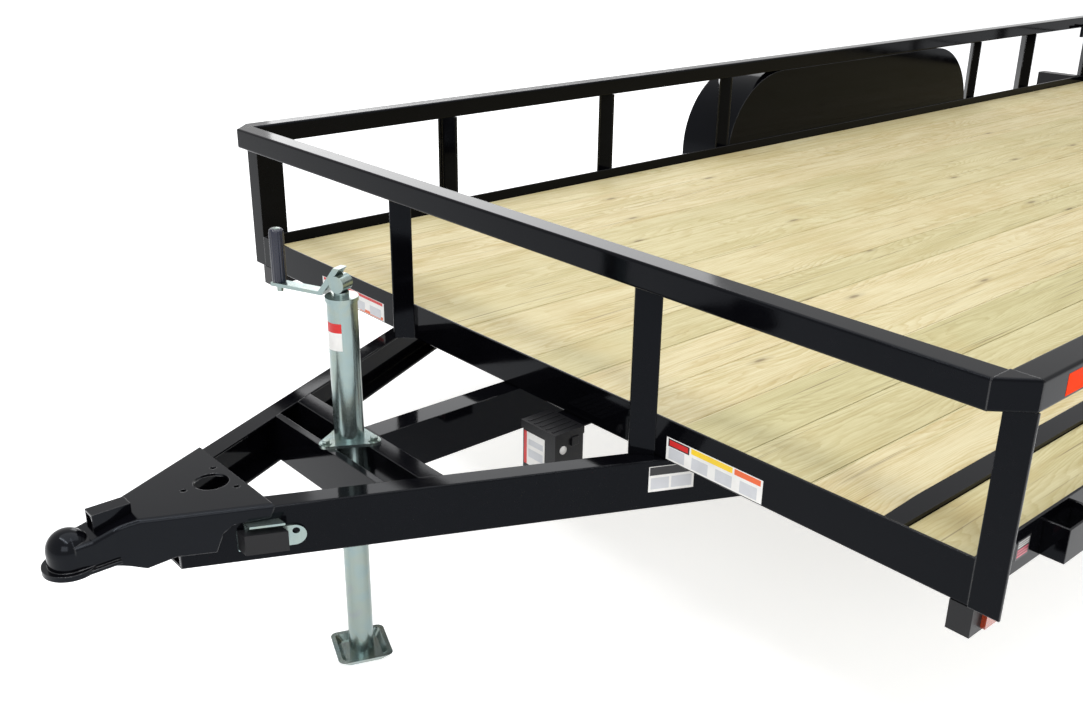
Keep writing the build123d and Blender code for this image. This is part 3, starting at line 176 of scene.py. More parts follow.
def gloss_black(name, tone, index, rough_low, rough_high, peel, grit=0.0):
    """Black paint: orange peel, cloudy gloss, a little dust, and a bright round on edges."""
    f = Finish(name)
    cloud = f.noise(7.0, 4.0, 0.6)
    dust = f.ramp(f.noise(60.0, 5.0, 0.7), (0.55, 0.0), (0.85, 1.0))
    base = f.mix(cloud, tuple(c * 0.7 for c in tone), tuple(c * 1.4 for c in tone))
    base = f.mix(f.math("MULTIPLY", dust, DUST_SHARE), base, DUST)
    rough = f.map(cloud, 0.3, 0.7, rough_low, rough_high)
    edge = f.node("ShaderNodeBevel", {"Radius": EDGE_SOFTNESS * MM}, samples=4).outputs["Normal"]
    normal = f.bump(f.noise(420.0, 2.0, 0.5), peel, PEEL_HEIGHT, edge)
    if grit:
        normal = f.bump(f.noise(1500.0, 2.0, 0.6), grit, GRIT_HEIGHT, normal)
    # the paint lies thick and bright over every edge
    flat = f.node("ShaderNodeNewGeometry").outputs["Normal"]
    facing = f.node("ShaderNodeVectorMath", {0: edge, 1: flat}, operation="DOT_PRODUCT").outputs["Value"]
    rim = f.map(facing, ROUND_FULL, ROUND_NONE, EDGE_COAT, 0.0)
    return f.set(Base_Color=base, Roughness=rough, IOR=index, Specular_Tint=(*GLOSS_TINT, 1),
                 Normal=normal, Coat_Weight=rim, Coat_Roughness=EDGE_COAT_ROUGHNESS,
                 Coat_Normal=edge).mat


DRAW_MARKS = (300.0, 300.0, 6.0)        # scale: fine across, long up and down
ZINC_BLOOM = ((0.30, (0.20, 0.33, 0.42)), (0.46, (0.34, 0.40, 0.40)), (0.58, (0.46, 0.42, 0.28)),
              (0.70, (0.40, 0.28, 0.36)))
BLOOM_SHARE = 0.14
ZINC_METALLIC = 0.88


def zinc(name, tint, rough_low, rough_high):
    """Bright zinc plate: draw marks up and down and the yellow and blue bloom of its passivation."""
    f = Finish(name)
    marks = f.noise(1.0, 3.0, 0.6, f.stretch(DRAW_MARKS))
    bloom = f.noise(16.0, 3.0, 0.6, warp=0.6)
    base = f.mix(f.map(marks, 0.3, 0.7, 0.0, 0.25), tint, tuple(c * 0.72 for c in tint))
    base = f.mix(BLOOM_SHARE, base, f.ramp(bloom, *ZINC_BLOOM))
    rough = f.map(f.noise(45.0, 4.0, 0.6), 0.3, 0.7, rough_low, rough_high)
    return f.set(Base_Color=base, Metallic=ZINC_METALLIC, Roughness=rough,
                 Normal=f.bump(marks, 0.02, 0.0002)).mat


GRAIN_HEIGHT = 0.0006


def moulded(name, tone, rough, level, grain, depth, metallic=0.0):
    """Plastic, rubber, ink or plain paint with an even grain."""
    f = Finish(name)
    cloud = f.noise(12.0, 4.0, 0.6)
    base = f.mix(cloud, tuple(c * 0.8 for c in tone), tuple(c * 1.35 for c in tone))
    return f.set(Base_Color=base, Roughness=f.map(cloud, 0.3, 0.7, rough - 0.06, rough + 0.06),
                 Metallic=metallic, Specular_IOR_Level=level,
                 Normal=f.bump(f.noise(grain, 3.0, 0.6), depth, GRAIN_HEIGHT)).mat


LABEL_SHEEN = (0.34, 0.4, 900.0, 0.03)  # roughness, specular level, grain and its depth


def sticker(name, red, green, blue):
    """One colour of the blank labels."""
    return moulded(name, srgb(red, green, blue), *LABEL_SHEEN)


PRISMS = 70.0                 # scale of the bands in a lamp's lens


def lens(name, deep, bright):
    """Moulded lamp lens with a fine grid of prisms inside it."""
    f = Finish(name)
    down, across = (f.node("ShaderNodeTexWave", {"Scale": PRISMS, "Vector": f.coords},
                           bands_direction=way).outputs["Fac"] for way in "ZY")
    grid = f.math("MULTIPLY", down, across)
    return f.set(Base_Color=f.mix(grid, deep, bright), Roughness=0.12, Coat_Weight=0.6, Coat_Roughness=0.04,
                 Normal=f.bump(grid, 0.25, 0.0008)).mat


PINE_PALE = srgb(210, 199, 163)
PINE_GREEN = srgb(186, 180, 136)
PINE_TAN = srgb(172, 146, 90)
PINE_DULL = srgb(152, 141, 96)
PINE_DARK = srgb(88, 68, 40)
RINGS = 96.0                  # growth rings per metre of depth
# how finely each pattern is cut, per metre across, along and through the boards
WANDER = (4.5, 0.85, 4.5)
RIPPLE = (18.0, 3.2, 18.0)
FIBRE = (520.0, 12.0, 520.0)
STREAK = (85.0, 2.4, 85.0)
BLOTCH = (13.0, 2.6, 13.0)
CHECKS = (170.0, 1.9, 170.0)
KNOTS = (7.0, 2.2, 7.0)
KNOTLESS = 0.78               # share of the knots' cells that stay clear
KNOT_STRENGTH = 0.70
KNOT_FADE = ((0.0, 1.0), (0.026, 0.85), (0.045, 0.35), (0.11, 0.0))
LATE_WOOD = ((0.0, 0.0), (0.45, 0.15), (0.80, 0.85), (0.92, 1.0), (1.0, 0.1))
GRAIN_RELIEF, GRAIN_RELIEF_HEIGHT = 0.20, 0.0006


def pine(name):
    """Treated pine: every board has its own tone, and its rings show as straight grain and cathedrals."""
    f = Finish(name)
    across = f.axis("x")
    board = f.ramp(f.map(across, -HALF * MM, HALF * MM, 0.0, 1.0), *BOARD_STOPS, hold=True)
    split = f.node("ShaderNodeSeparateColor", {"Color": board})
    tone, shift, kind = split.outputs
    # coordinates of the board's own log: its pith wanders along the board
    away = f.node("ShaderNodeCombineXYZ", {"X": f.math("MULTIPLY", shift, 37.0),
                                           "Y": f.math("MULTIPLY", kind, 53.0)})
    spot = f.node("ShaderNodeVectorMath", {0: f.coords, 1: away.outputs[0]}, operation="ADD").outputs[0]
    wander = f.noise(1.0, 2.0, 0.5, f.stretch(WANDER, spot))
    ripple = f.noise(1.0, 4.0, 0.6, f.stretch(RIPPLE, spot))
    depth = f.math("ADD", f.math("MULTIPLY", f.math("SUBTRACT", wander, 0.5), 0.42),
                   f.math("MULTIPLY", kind, 0.05))
    side = f.math("ADD", across, f.math("MULTIPLY", ripple, 0.045))
    ring = f.math("FRACT", f.math("MULTIPLY", f.math("ADD", depth, side), RINGS))
    late = f.ramp(ring, *LATE_WOOD)
    fine = f.noise(1.0, 4.0, 0.65, f.stretch(FIBRE, spot))
    streak = f.noise(1.0, 5.0, 0.65, f.stretch(STREAK, spot))
    blotch = f.noise(1.0, 5.0, 0.7, f.stretch(BLOTCH, spot), warp=0.7)
    pale = f.mix(tone, PINE_PALE, PINE_GREEN)
    dark = f.mix(tone, PINE_TAN, PINE_DULL)
    amount = f.math("MULTIPLY", f.map(streak, 0.40, 0.70, 0.0, 0.9),
                    f.map(blotch, 0.35, 0.65, 0.25, 1.0))
    wood = f.mix(amount, pale, dark)
    wood = f.mix(f.math("MULTIPLY", late, f.map(blotch, 0.35, 0.65, 0.12, 0.75)), wood, dark)
    wood = f.mix(f.map(blotch, 0.50, 0.72, 0.0, 0.45), wood, PINE_GREEN)
    wood = f.mix(f.map(f.noise(2.6, 4.0, 0.65, spot), 0.55, 0.80, 0.0, 0.50), wood, PINE_TAN)
    wood = f.mix(f.map(fine, 0.30, 0.75, 0.0, 0.30), wood, PINE_DULL)
    check = f.noise(1.0, 3.0, 0.6, f.stretch(CHECKS, spot))
    wood = f.mix(f.map(check, 0.62, 0.72, 0.0, 0.60), wood, PINE_DARK)
    # a few knots, each a ragged spot in a cell of its own
    cell = f.node("ShaderNodeTexVoronoi", {"Vector": f.stretch(KNOTS, spot), "Scale": 1.0,
                                           "Randomness": 1.0}, voronoi_dimensions="2D")
    chosen = f.math("GREATER_THAN", f.axis("x", cell.outputs["Color"]), KNOTLESS)
    ragged = f.math("MULTIPLY", f.math("SUBTRACT", blotch, 0.5), 0.09)
    rim = f.math("ADD", cell.outputs["Distance"], ragged)
    knot = f.math("MULTIPLY", f.ramp(rim, *KNOT_FADE), chosen)
    wood = f.mix(f.math("MULTIPLY", knot, KNOT_STRENGTH), wood, PINE_DARK)
    height = f.math("ADD", f.math("MULTIPLY", late, 0.3), fine)
    return f.set(Base_Color=wood, Roughness=f.map(fine, 0.3, 0.7, 0.55, 0.70), Specular_IOR_Level=0.25,
                 Normal=f.bump(height, GRAIN_RELIEF, GRAIN_RELIEF_HEIGHT)).mat


RAIL_GAP = 7.0                # outermost boards' distance from the side rails' outer faces
STRIP_LEFT = 925.0            # left edge of the gap that the deck strip fills
SEAMS = (883.0, 737.0, 591.0, 445.0, 299.0, 153.0, 7.0, -225.0, -457.0)
LAST_SEAM = -(HALF - RAIL_GAP)
LAST_BOARDS = 4               # boards of one width from the last of SEAMS to the right rail
BOARD_SIDES = [*SEAMS, *(SEAMS[-1] + (LAST_SEAM - SEAMS[-1]) * n / LAST_BOARDS
                         for n in range(1, LAST_BOARDS))]


def board_stops():
    """Places of the boards' edges across the trailer, each with three random numbers."""
    random.seed(7)
    low, high = -HALF, HALF
    edges = sorted([*BOARD_SIDES, -HALF, STRIP_LEFT])
    return [((edge - low) / (high - low), (random.random(), random.random(), random.random()))
            for edge in edges]


BOARD_STOPS = board_stops()

PAINT = gloss_black("black_paint", (0.0018, 0.0018, 0.0026), 1.18, 0.05, 0.11, 0.03)
COUPLER = gloss_black("coupler_paint", (0.0020, 0.0020, 0.0028), 1.23, 0.08, 0.14, 0.04)
DARK = gloss_black("dark_steel", (0.010, 0.010, 0.010), 1.3, 0.35, 0.5, 0.15, 0.2)
IRON = gloss_black("hub_iron", (0.025, 0.025, 0.025), 1.35, 0.4, 0.55, 0.2, 0.4)
ZINC = zinc("zinc_plate", (0.23, 0.295, 0.285), 0.18, 0.27)
PLASTIC = moulded("black_plastic", (0.006, 0.006, 0.007), 0.36, 0.22, 700.0, 0.20)
RUBBER = moulded("tyre_rubber", (0.014, 0.014, 0.014), 0.66, 0.25, 320.0, 0.35)
SILVER = moulded("wheel_silver", (0.50, 0.51, 0.52), 0.30, 0.5, 500.0, 0.06, metallic=0.55)
WOOD = pine("deck_wood")
AMBER = lens("amber_lens", (0.34, 0.030, 0.004), (0.62, 0.10, 0.012))
RED = lens("red_lens", (0.30, 0.004, 0.004), (0.62, 0.02, 0.015))
WHITE = sticker("label_white", 228, 226, 222)
YELLOW = sticker("label_yellow", 238, 200, 40)
ORANGE = sticker("label_orange", 222, 96, 44)
REFLECTOR = moulded("reflector_orange", srgb(250, 62, 0), 0.55, 0.05, 260.0, 0.10)
GREY = sticker("label_grey", 196, 197, 200)
PINK = sticker("label_pink", 214, 96, 112)
NAVY = moulded("grip_navy", (0.006, 0.008, 0.020), 0.24, 0.45, 500.0, 0.05)
SCARLET = sticker("label_red", 200, 36, 34)
INK = sticker("label_black", 24, 24, 26)
BY_SLOT = {"black_paint": PAINT, "deck_wood": WOOD, "coupler_paint": COUPLER, "zinc_plate": ZINC,
           "black_plastic": PLASTIC, "amber_lens": AMBER, "red_lens": RED, "dark_steel": DARK,
           "wheel_silver": SILVER, "hub_iron": IRON, "tyre_rubber": RUBBER}

for node, obj in NODES.items():
    obj.data.materials.clear()
    obj.data.materials.append(BY_SLOT[SLOT_OF[node]])


# --- shapes ---------------------------------------------------------------------------------------
BEVEL_SEGMENTS = 2


class Shape:
    """Mesh in the making, in the deck frame. Points pass through `frame` as they are added."""

    def __init__(self):
        self.points, self.faces, self.tints = [], [], []
        self.frame = Matrix.Identity(4)
        self.tint = 0

    def add(self, points, faces):
        start = len(self.points)
        self.points += [self.frame @ Vector(p) for p in points]
        self.faces += [[start + i for i in face] for face in faces]
        self.tints += [self.tint] * len(faces)
        return self

    def block(self, x0, x1, y0, y1, z0, z1):
        return self.prism("z", [(x0, y0), (x1, y0), (x1, y1), (x0, y1)], z0, z1)

    def prism(self, axis, outline, low, high):
        """Outline of (y, z) points carried along X, or of (x, y) points along Z."""
        order = {"x": lambda a, b, c: (c, a, b), "z": lambda a, b, c: (a, b, c)}[axis]
        count = len(outline)
        points = [order(a, b, c) for c in (low, high) for a, b in outline]
        faces = [list(range(count))[::-1], list(range(count, 2 * count))]
        faces += [[i, (i + 1) % count, count + (i + 1) % count, count + i] for i in range(count)]
        return self.add(points, faces)

    def rings(self, rings, closed=False):
        """Skin over rings of points that each have the same count, capped unless it closes on itself."""
        count = len(rings[0])
        points = [p for ring in rings for p in ring]
        faces = []
        pairs = list(zip(range(len(rings)), range(1, len(rings))))
        if closed:
            pairs.append((len(rings) - 1, 0))
        for a, b in pairs:
            for i in range(count):
                j = (i + 1) % count
                faces.append([a * count + i, a * count + j, b * count + j, b * count + i])
        if not closed:
            faces += [list(range(count))[::-1], [(len(rings) - 1) * count + i for i in range(count)]]
        return self.add(points, faces)

    def lathe(self, axis, centre, profile, steps):
        """Profile of (radius, place along the axis) turned about it."""
        def spot(radius, along, turn):
            a, b = radius * math.cos(turn), radius * math.sin(turn)
            offset = {"x": (along, a, b), "z": (a, b, along)}[axis]
            return tuple(c + o for c, o in zip(centre, offset))
        rings = [[spot(r, h, 2 * math.pi * i / steps) for i in range(steps)] for r, h in profile]
        return self.rings(rings)

    def hexagon(self, axis, centre, flats, low, high, turn=0.0):
        """Nut or bolt head with its corners turned down."""
        radius = flats / math.sqrt(3)
        chamfer = 0.10 * flats
        eased = radius * 0.88
        profile = [(eased, low), (radius, low + chamfer), (radius, high - chamfer), (eased, high)]
        kept = self.frame
        self.frame = kept @ Matrix.Translation(centre) @ Matrix.Rotation(turn, 4, axis.upper())
        self.lathe(axis, (0, 0, 0), profile, 6)
        self.frame = kept
        return self

    def emit(self, name, finish, body, slot=None, replaces=(), bevel=0.0, smooth=35):
        """Make the object: `finish` is one material or a list, `smooth` the angle that stays sharp."""
        mesh = bpy.data.meshes.new(name)
        mesh.from_pydata([place(p) for p in self.points], [], self.faces)
        work = bmesh.new()
        work.from_mesh(mesh)
        bmesh.ops.recalc_face_normals(work, faces=work.faces)
        work.to_mesh(mesh)
        work.free()
        for material in finish if isinstance(finish, (list, tuple)) else [finish]:
            mesh.materials.append(material)
        mesh.polygons.foreach_set("material_index", self.tints)
        mesh.shade_smooth()
        mesh.set_sharp_from_angle(angle=math.radians(smooth))
        obj = bpy.data.objects.new(name, mesh)
        bpy.context.scene.collection.objects.link(obj)
        if bevel:
            cut = obj.modifiers.new("Bevel", "BEVEL")
            cut.width = bevel * MM
            cut.segments = BEVEL_SEGMENTS
            cut.limit_method = "ANGLE"
            cut.angle_limit = math.radians(smooth)
            cut.harden_normals = True
        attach(obj, body)
        if replaces:
            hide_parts(*replaces)
        return obj


# --- deck -----------------------------------------------------------------------------------------
BOARD_GAP = 0.4               # least gap on each side of a board
GAP_SPREAD = 0.6              # random extra
TOP_SPREAD = 0.6              # random fall of a board's top
BOARD_EASE = 1.6
REBATE_LENGTH, REBATE_DEPTH = 45.0, 5   # step at the rear for the beam's cap


def deck():
    """Boards with eased edges, a little out of line with one another."""
    low, high = deck_box("deck_boards")
    random.seed(3)
    boards = Shape()
    edges = [*BOARD_SIDES, LAST_SEAM]
    spans = list(zip(edges, edges[1:])) + [(HALF - RAIL_GAP, STRIP_LEFT)]
    step = high.y - REBATE_LENGTH
    cap = high.z - REBATE_DEPTH
    for left, right in spans:
        x0 = right + BOARD_GAP + GAP_SPREAD * random.random()
        x1 = left - BOARD_GAP - GAP_SPREAD * random.random()
        top = high.z - TOP_SPREAD * random.random()
        outline = [(low.y, low.z), (high.y, low.z), (high.y, cap), (step, cap), (step, top), (low.y, top)]
        boards.prism("x", outline, x0, x1)
    boards.emit("deck_boards_eased", WOOD, "chassis", "deck_wood", ["deck_boards"], bevel=BOARD_EASE)


# --- wheels ---------------------------------------------------------------------------------------
TREAD_BLOCKS = 96             # sipes round the tyre
SIPE_PERIOD = 3               # sections from one sipe to the next
TREAD_DEPTH = 7.0
BEAD_RADIUS = 202.0
TYRE_INSET = 0.4              # the dressed tyre stays this far inside the solid's box
RIBS = (                      # share of the half width, share of the tread's depth
    (0.0, 0.0), (0.17, 0.0), (0.19, 1.0), (0.27, 1.0), (0.29, 0.0), (0.50, 0.0), (0.52, 1.0),
    (0.60, 1.0), (0.62, 0.0), (0.84, 0.05),
)
SIDEWALL = (                  # share of the half width, share of the way from tread to bead
    (0.90, 0.020), (0.955, 0.055), (0.985, 0.12), (1.0, 0.25), (1.0, 0.40), (0.992, 0.43),
    (0.998, 0.46), (0.985, 0.58), (0.945, 0.72), (0.935, 0.735), (0.925, 0.75), (0.86, 0.88),
    (0.78, 0.97), (0.70, 1.0),
)
SHOULDER_SIPE, RIB_SIPE = 4.5, 2.5


def tyre(body, node):
    """Radial trailer tyre: ribs, sipes at the shoulders and rings on the sidewalls."""
    low, high = deck_box(node)
    middle = (low + high) / 2
    radius = (high.z - low.z) / 2 - TYRE_INSET
    half = (high.x - low.x) / 2 - TYRE_INSET
    wall = radius - BEAD_RADIUS
    outer = [(half * share, radius - TREAD_DEPTH * fall) for share, fall in RIBS]
    outer += [(half * share, radius - wall * fall) for share, fall in SIDEWALL]
    profile = [(-x, r) for x, r in reversed(outer[1:])] + outer
    sections = TREAD_BLOCKS * SIPE_PERIOD
    rings = []
    for step in range(sections):
        turn = 2 * math.pi * step / sections
        ring = []
        for x, r in profile:
            share = abs(x) / half
            on_shoulder = 0.60 < share < 0.97 and r > radius - wall * 0.2
            on_rib = 0.28 < share < 0.51 and r > radius - 1
            cut = SHOULDER_SIPE if step % SIPE_PERIOD == 0 and on_shoulder else 0.0
            cut += RIB_SIPE if step % SIPE_PERIOD == 1 and on_rib else 0.0
            ring.append((middle.x + x, middle.y + (r - cut) * math.cos(turn),
                         middle.z + (r - cut) * math.sin(turn)))
        inner = BEAD_RADIUS + 3
        inside = [(middle.x + s * half * 0.6, middle.y + inner * math.cos(turn),
                   middle.z + inner * math.sin(turn)) for s in (1, -1)]
        rings.append(ring + inside)
    tread = Shape().rings(rings, closed=True)
    tread.emit(node + "_tread", RUBBER, body, "tyre_rubber", [node], smooth=28)


NUTS = 5
NUT_CIRCLE = 57.15            # radius of the circle of studs
NUT_FLATS, NUT_LENGTH = 23.5, 22
DISC_FACE = 1198.5            # outer face of the wheel's disc, from the trailer's middle


def lug_nuts(body, node):
    """Hexagonal nuts over the hub's studs."""
    low, high = deck_box(node)
    middle = (low + high) / 2
    sign = 1 if middle.x > 0 else -1
    face = DISC_FACE * sign
    ends = sorted((face, face + sign * NUT_LENGTH))
    nuts = Shape()
    for n in range(NUTS):
        turn = math.radians(360 / NUTS * n)
        spot = (0, middle.y + NUT_CIRCLE * math.cos(turn), middle.z + NUT_CIRCLE * math.sin(turn))
        nuts.hexagon("x", spot, NUT_FLATS, ends[0], ends[1], turn)
    nuts.emit(node + "_nuts", ZINC, body, "zinc_plate", smooth=30)


# --- blank labels ---------------------------------------------------------------------------------
TONGUE_ANGLE = math.radians(25.6)       # each tongue rail from the trailer's middle line
LABEL_LIFT, BAND_LIFT = 0.35, 0.05      # thickness of a label, and how far each band lies over the last
RAIL_REACH = 50.8             # top rail's outer face past the side rail's


def label(name, corner, right, up, bands):
    """Thin sheet on a face: corner, its two sides, and bands of (u0, u1, v0, v1, finish)."""
    corner, right, up = Vector(corner), Vector(right), Vector(up)
    out = right.cross(up).normalized()
    sheet = Shape()
    finishes = []
    for number, (u0, u1, v0, v1, finish) in enumerate(bands):
        if finish not in finishes:
            finishes.append(finish)
        sheet.tint = finishes.index(finish)
        lift = LABEL_LIFT + BAND_LIFT * number
        flat = [corner + right * u + up * v for u, v in ((u0, v0), (u1, v0), (u1, v1), (u0, v1))]
        points = flat + [p + out * lift for p in flat]
        sheet.add(points, [[0, 3, 2, 1], [4, 5, 6, 7], [0, 1, 5, 4], [1, 2, 6, 5], [2, 3, 7, 6],
                           [3, 0, 4, 7]])
    return sheet.emit(name, finishes, "chassis")


def labels():
    """The labels that the photo shows, all blank, and a reflector on each front corner."""
    whole = (0, 1, 0, 1, WHITE)
    columns = [(u, u + 0.17, 0.08, 0.58, GREY) for u in (0.03, 0.28, 0.53, 0.78)]
    label("label_beam_near", (452, 0, -80), (225, 0, 0), (0, 0, 46),
          [whole, (0.02, 0.25, 0.62, 0.96, INK), (0.035, 0.235, 0.67, 0.91, SCARLET),
           (0.27, 0.70, 0.72, 0.96, YELLOW), (0.72, 0.98, 0.72, 0.96, ORANGE), *columns])
    label("label_beam_far", (-760, 0, -80), (280, 0, 0), (0, 0, 46),
          [whole, (0.02, 0.98, 0.82, 0.98, SCARLET), (0.62, 0.98, 0.03, 0.20, ORANGE), *columns])
    slope = Vector((math.sin(TONGUE_ANGLE), math.cos(TONGUE_ANGLE), 0))
    start = Vector((447, 0, -150)) - slope * 28
    label("label_rail", start, slope * 91, (0, 0, 53),
          [whole, (0.02, 0.98, 0.65, 0.98, INK), (0.05, 0.45, 0.10, 0.55, GREY),
           (0.50, 0.95, 0.10, 0.55, GREY)])
    lines = [(0.10, 0.90, v, v + 0.06, WHITE) for v in (0.60, 0.72, 0.84)]
    lines += [(0.10, 0.90, v, v + 0.08, PINK) for v in (0.12, 0.27, 0.42)]
    label("label_side_rail", (HALF, 131, -59), (0, 42, 0), (0, 0, 36), [(0, 1, 0, 1, INK), *lines])
    edge, front, rear = HALF + RAIL_REACH, 70, 165
    for name, x, start, length in (("left", edge, front, rear - front), ("right", -edge, rear, front - rear)):
        label(f"reflector_{name}", (x, start, 258), (0, length, 0), (0, 0, 34), [(0, 1, 0, 1, REFLECTOR)])
    low, high = deck_box("battery_box")
    label("label_battery", (low.x + 3, low.y, low.z + 10), (62, 0, 0), (0, 0, high.z - low.z - 16),
          [whole, (0, 0.14, 0, 1, SCARLET), (0.22, 0.92, 0.62, 0.80, GREY), (0.22, 0.92, 0.25, 0.50, GREY)])


# --- jack and tongue trim -------------------------------------------------------------------------
JACK_BOLTS = 3
JACK_BOLT_CIRCLE = 52.0       # radius
WASHER_RADIUS, WASHER_WALL = 11, 1.6
BOLT_FLATS, BOLT_TOP = 14.0, 8.0
JACK_FLANGE = 6               # the flange's thickness on the tray
TUBE_RADIUS = 28.5
STICKER_TURN = (math.radians(-106), math.radians(-38))  # from one side of the sticker to the other
STICKER_BANDS = ((108, 143, 0), (143, 161, 1))          # bottom, top and which finish
STICKER_STEPS = 14
STICKER_LIFT = 0.4
FLUTES, FLUTE_DEPTH = 16, 0.9
GRIP_STEPS = 96


def jack_label(middle):
    """Blank sticker round the front of the jack's tube, its top third red."""
    sheet = Shape()
    start, stop = STICKER_TURN
    outer = TUBE_RADIUS + STICKER_LIFT
    for low, high, tint in STICKER_BANDS:
        sheet.tint = tint
        for n in range(STICKER_STEPS):
            first, last = (start + (stop - start) * (n + k) / STICKER_STEPS for k in (0, 1))
            corners = ((first, TUBE_RADIUS), (last, TUBE_RADIUS), (last, outer), (first, outer))
            points = [(middle.x + r * math.cos(t), middle.y + r * math.sin(t), z)
                      for z in (low, high) for t, r in corners]
            sheet.add(points, [[0, 1, 2, 3], [7, 6, 5, 4], [0, 4, 5, 1], [1, 5, 6, 2], [2, 6, 7, 3],
                               [3, 7, 4, 0]])
    sheet.emit("label_jack", [WHITE, SCARLET], "chassis")


def flange_bolts(middle):
    """Bolts with washers through the jack's flange."""
    bolts = Shape()
    flange = deck_box("jack_tray")[1].z + JACK_FLANGE
    washer = flange + WASHER_WALL
    for n in range(JACK_BOLTS):
        turn = math.radians(360 / JACK_BOLTS * n - 90)
        spot = (middle.x + JACK_BOLT_CIRCLE * math.cos(turn),
                middle.y + JACK_BOLT_CIRCLE * math.sin(turn), 0)
        disc = [(0, flange), (WASHER_RADIUS, flange), (WASHER_RADIUS, washer), (0, washer)]
        bolts.lathe("z", spot, disc, 24)
        bolts.hexagon("z", spot, BOLT_FLATS, washer, flange + BOLT_TOP, turn)
    bolts.emit("jack_flange_bolts", ZINC, "chassis", "zinc_plate", smooth=30)


def fluted_grip():
    """The crank's grip with flutes down it and a bright cap."""
    low, high = deck_box("jack_grip")
    middle, radius = (low + high) / 2, (high.x - low.x) / 2
    grip, cap = Shape(), Shape()
    profile = [(0.90, low.z), (1.0, low.z + 4), (1.0, high.z - 8), (0.93, high.z - 3), (0.70, high.z)]
    rings = []
    for share, z in profile:
        ring = []
        for i in range(GRIP_STEPS):
            turn = 2 * math.pi * i / GRIP_STEPS
            hollow = 0.5 - 0.5 * math.cos(FLUTES * turn)
            r = radius * share - FLUTE_DEPTH * hollow * (1 if share == 1.0 else 0.3)
            ring.append((middle.x + r * math.cos(turn), middle.y + r * math.sin(turn), z))
        rings.append(ring)
    grip.rings(rings).emit("jack_grip_fluted", NAVY, "chassis", "black_plastic", ["jack_grip"], smooth=40)
    dome = [(0, -0.5), (7.5, -0.5), (7.5, 0.4), (5.5, 1.4), (0, 1.8)]
    cap.lathe("z", (middle.x, middle.y, high.z), dome, 24)
    cap.emit("jack_grip_cap", ZINC, "chassis", "zinc_plate")


def jack_trim():
    """Everything that the scene adds to the jack."""
    low, high = deck_box("jack_head")
    middle = (low + high) / 2
    jack_label(middle)
    flange_bolts(middle)
    fluted_grip()


LID_RIDGES = 5
LID_MARGIN = 16               # from the lid's sides to the outer ridges' middles


def battery_trim():
    """Ridges and clip of the battery case's lid, and a bolt in its side."""
    low, high = deck_box("battery_lid")
    trim = Shape()
    for n in range(LID_RIDGES):
        x = low.x + LID_MARGIN + n * (high.x - low.x - 2 * LID_MARGIN) / (LID_RIDGES - 1)
        trim.block(x - 3, x + 3, low.y + 6, high.y - 6, high.z - 0.5, high.z + 1.5)
    box_low, box_high = deck_box("battery_box")
    trim.block(box_high.x, box_high.x + 5, box_low.y + 40, box_low.y + 58, high.z - 34, high.z - 15)
    trim.emit("battery_trim", PLASTIC, "chassis", "black_plastic", bevel=0.8)
    head = [(0, 0), (8.5, 0), (8.5, 2.0), (5.5, 4.5), (0, 5.2)]
    bolt = Shape().lathe("x", (box_high.x, box_low.y + 20, box_high.z - 22), head, 24)
    bolt.emit("battery_bolt", WHITE, "chassis", smooth=40)


# --- camera, stage and light ----------------------------------------------------------------------
CAMERA_AZIMUTH, CAMERA_ELEVATION, CAMERA_ROLL = 48.69, 22.47, 0.73      # degrees
CAMERA_SPOT = (1735.79, -1439.34, 906.94)                               # deck frame
CAMERA_LENS, SENSOR_WIDTH = 38.33, 36.0
CAMERA_REACH = 200.0
WORLD_LEVEL = 0.42
WORLD_TINT = (0.93, 0.96, 1.0)
FLOOR_HALF = 40.0
FLOOR_GLOW = 0.68
FLOOR_DULL, FLOOR_PALE = (0.80, 0.80, 0.80), (0.83, 0.83, 0.83)
LAMPS = (                     # name, place, what it looks at, size and watts
    ("overhead", (0.0, -0.5, 6.0), (0.0, -0.2, 0.0), (6.0, 9.0), 330.0),
    ("front_left", (5.0, -6.5, 4.0), (0.0, -1.5, 0.5), (4.0, 3.0), 150.0),
    ("rear_right", (-6.0, 3.0, 3.5), (0.0, 0.5, 0.5), (4.0, 3.0), 100.0),
    ("strip_front", (0.6, -4.2, 5.0), (0.0, -1.8, 0.6), (5.0, 0.25), 90.0),
    ("strip_side", (3.4, -1.5, 5.0), (0.5, -1.5, 0.6), (0.25, 5.0), 35.0),
)


def camera():
    """The photograph's own viewpoint, found from its straight edges."""
    azimuth, elevation, roll = map(math.radians, (CAMERA_AZIMUTH, CAMERA_ELEVATION, CAMERA_ROLL))
    right = Vector((math.cos(azimuth), math.sin(azimuth), 0))
    back = Vector((math.sin(azimuth) * math.cos(elevation), -math.cos(azimuth) * math.cos(elevation),
                   math.sin(elevation)))
    up = back.cross(right)
    across = right * math.cos(roll) + up * math.sin(roll)
    over = up * math.cos(roll) - right * math.sin(roll)
    data = bpy.data.cameras.new("camera")
    data.sensor_width = SENSOR_WIDTH
    data.lens = CAMERA_LENS
    data.clip_end = CAMERA_REACH
    obj = bpy.data.objects.new("camera", data)
    bpy.context.scene.collection.objects.link(obj)
    turn = Matrix((across, over, back)).transposed().to_4x4()
    obj.matrix_world = Matrix.Translation(place(CAMERA_SPOT)) @ turn
    bpy.context.scene.camera = obj


def seen_white(tree):
    """1 to the camera, to mirrors and through glass, and 0 to everything else."""
    path = tree.nodes.new("ShaderNodeLightPath")
    seen = path.outputs["Is Camera Ray"]
    for name in ("Is Glossy Ray", "Is Transmission Ray"):
        either = tree.nodes.new("ShaderNodeMath")
        either.operation = "MAXIMUM"
        tree.links.new(seen, either.inputs[0])
        tree.links.new(path.outputs[name], either.inputs[1])
        seen = either.outputs[0]
    return seen


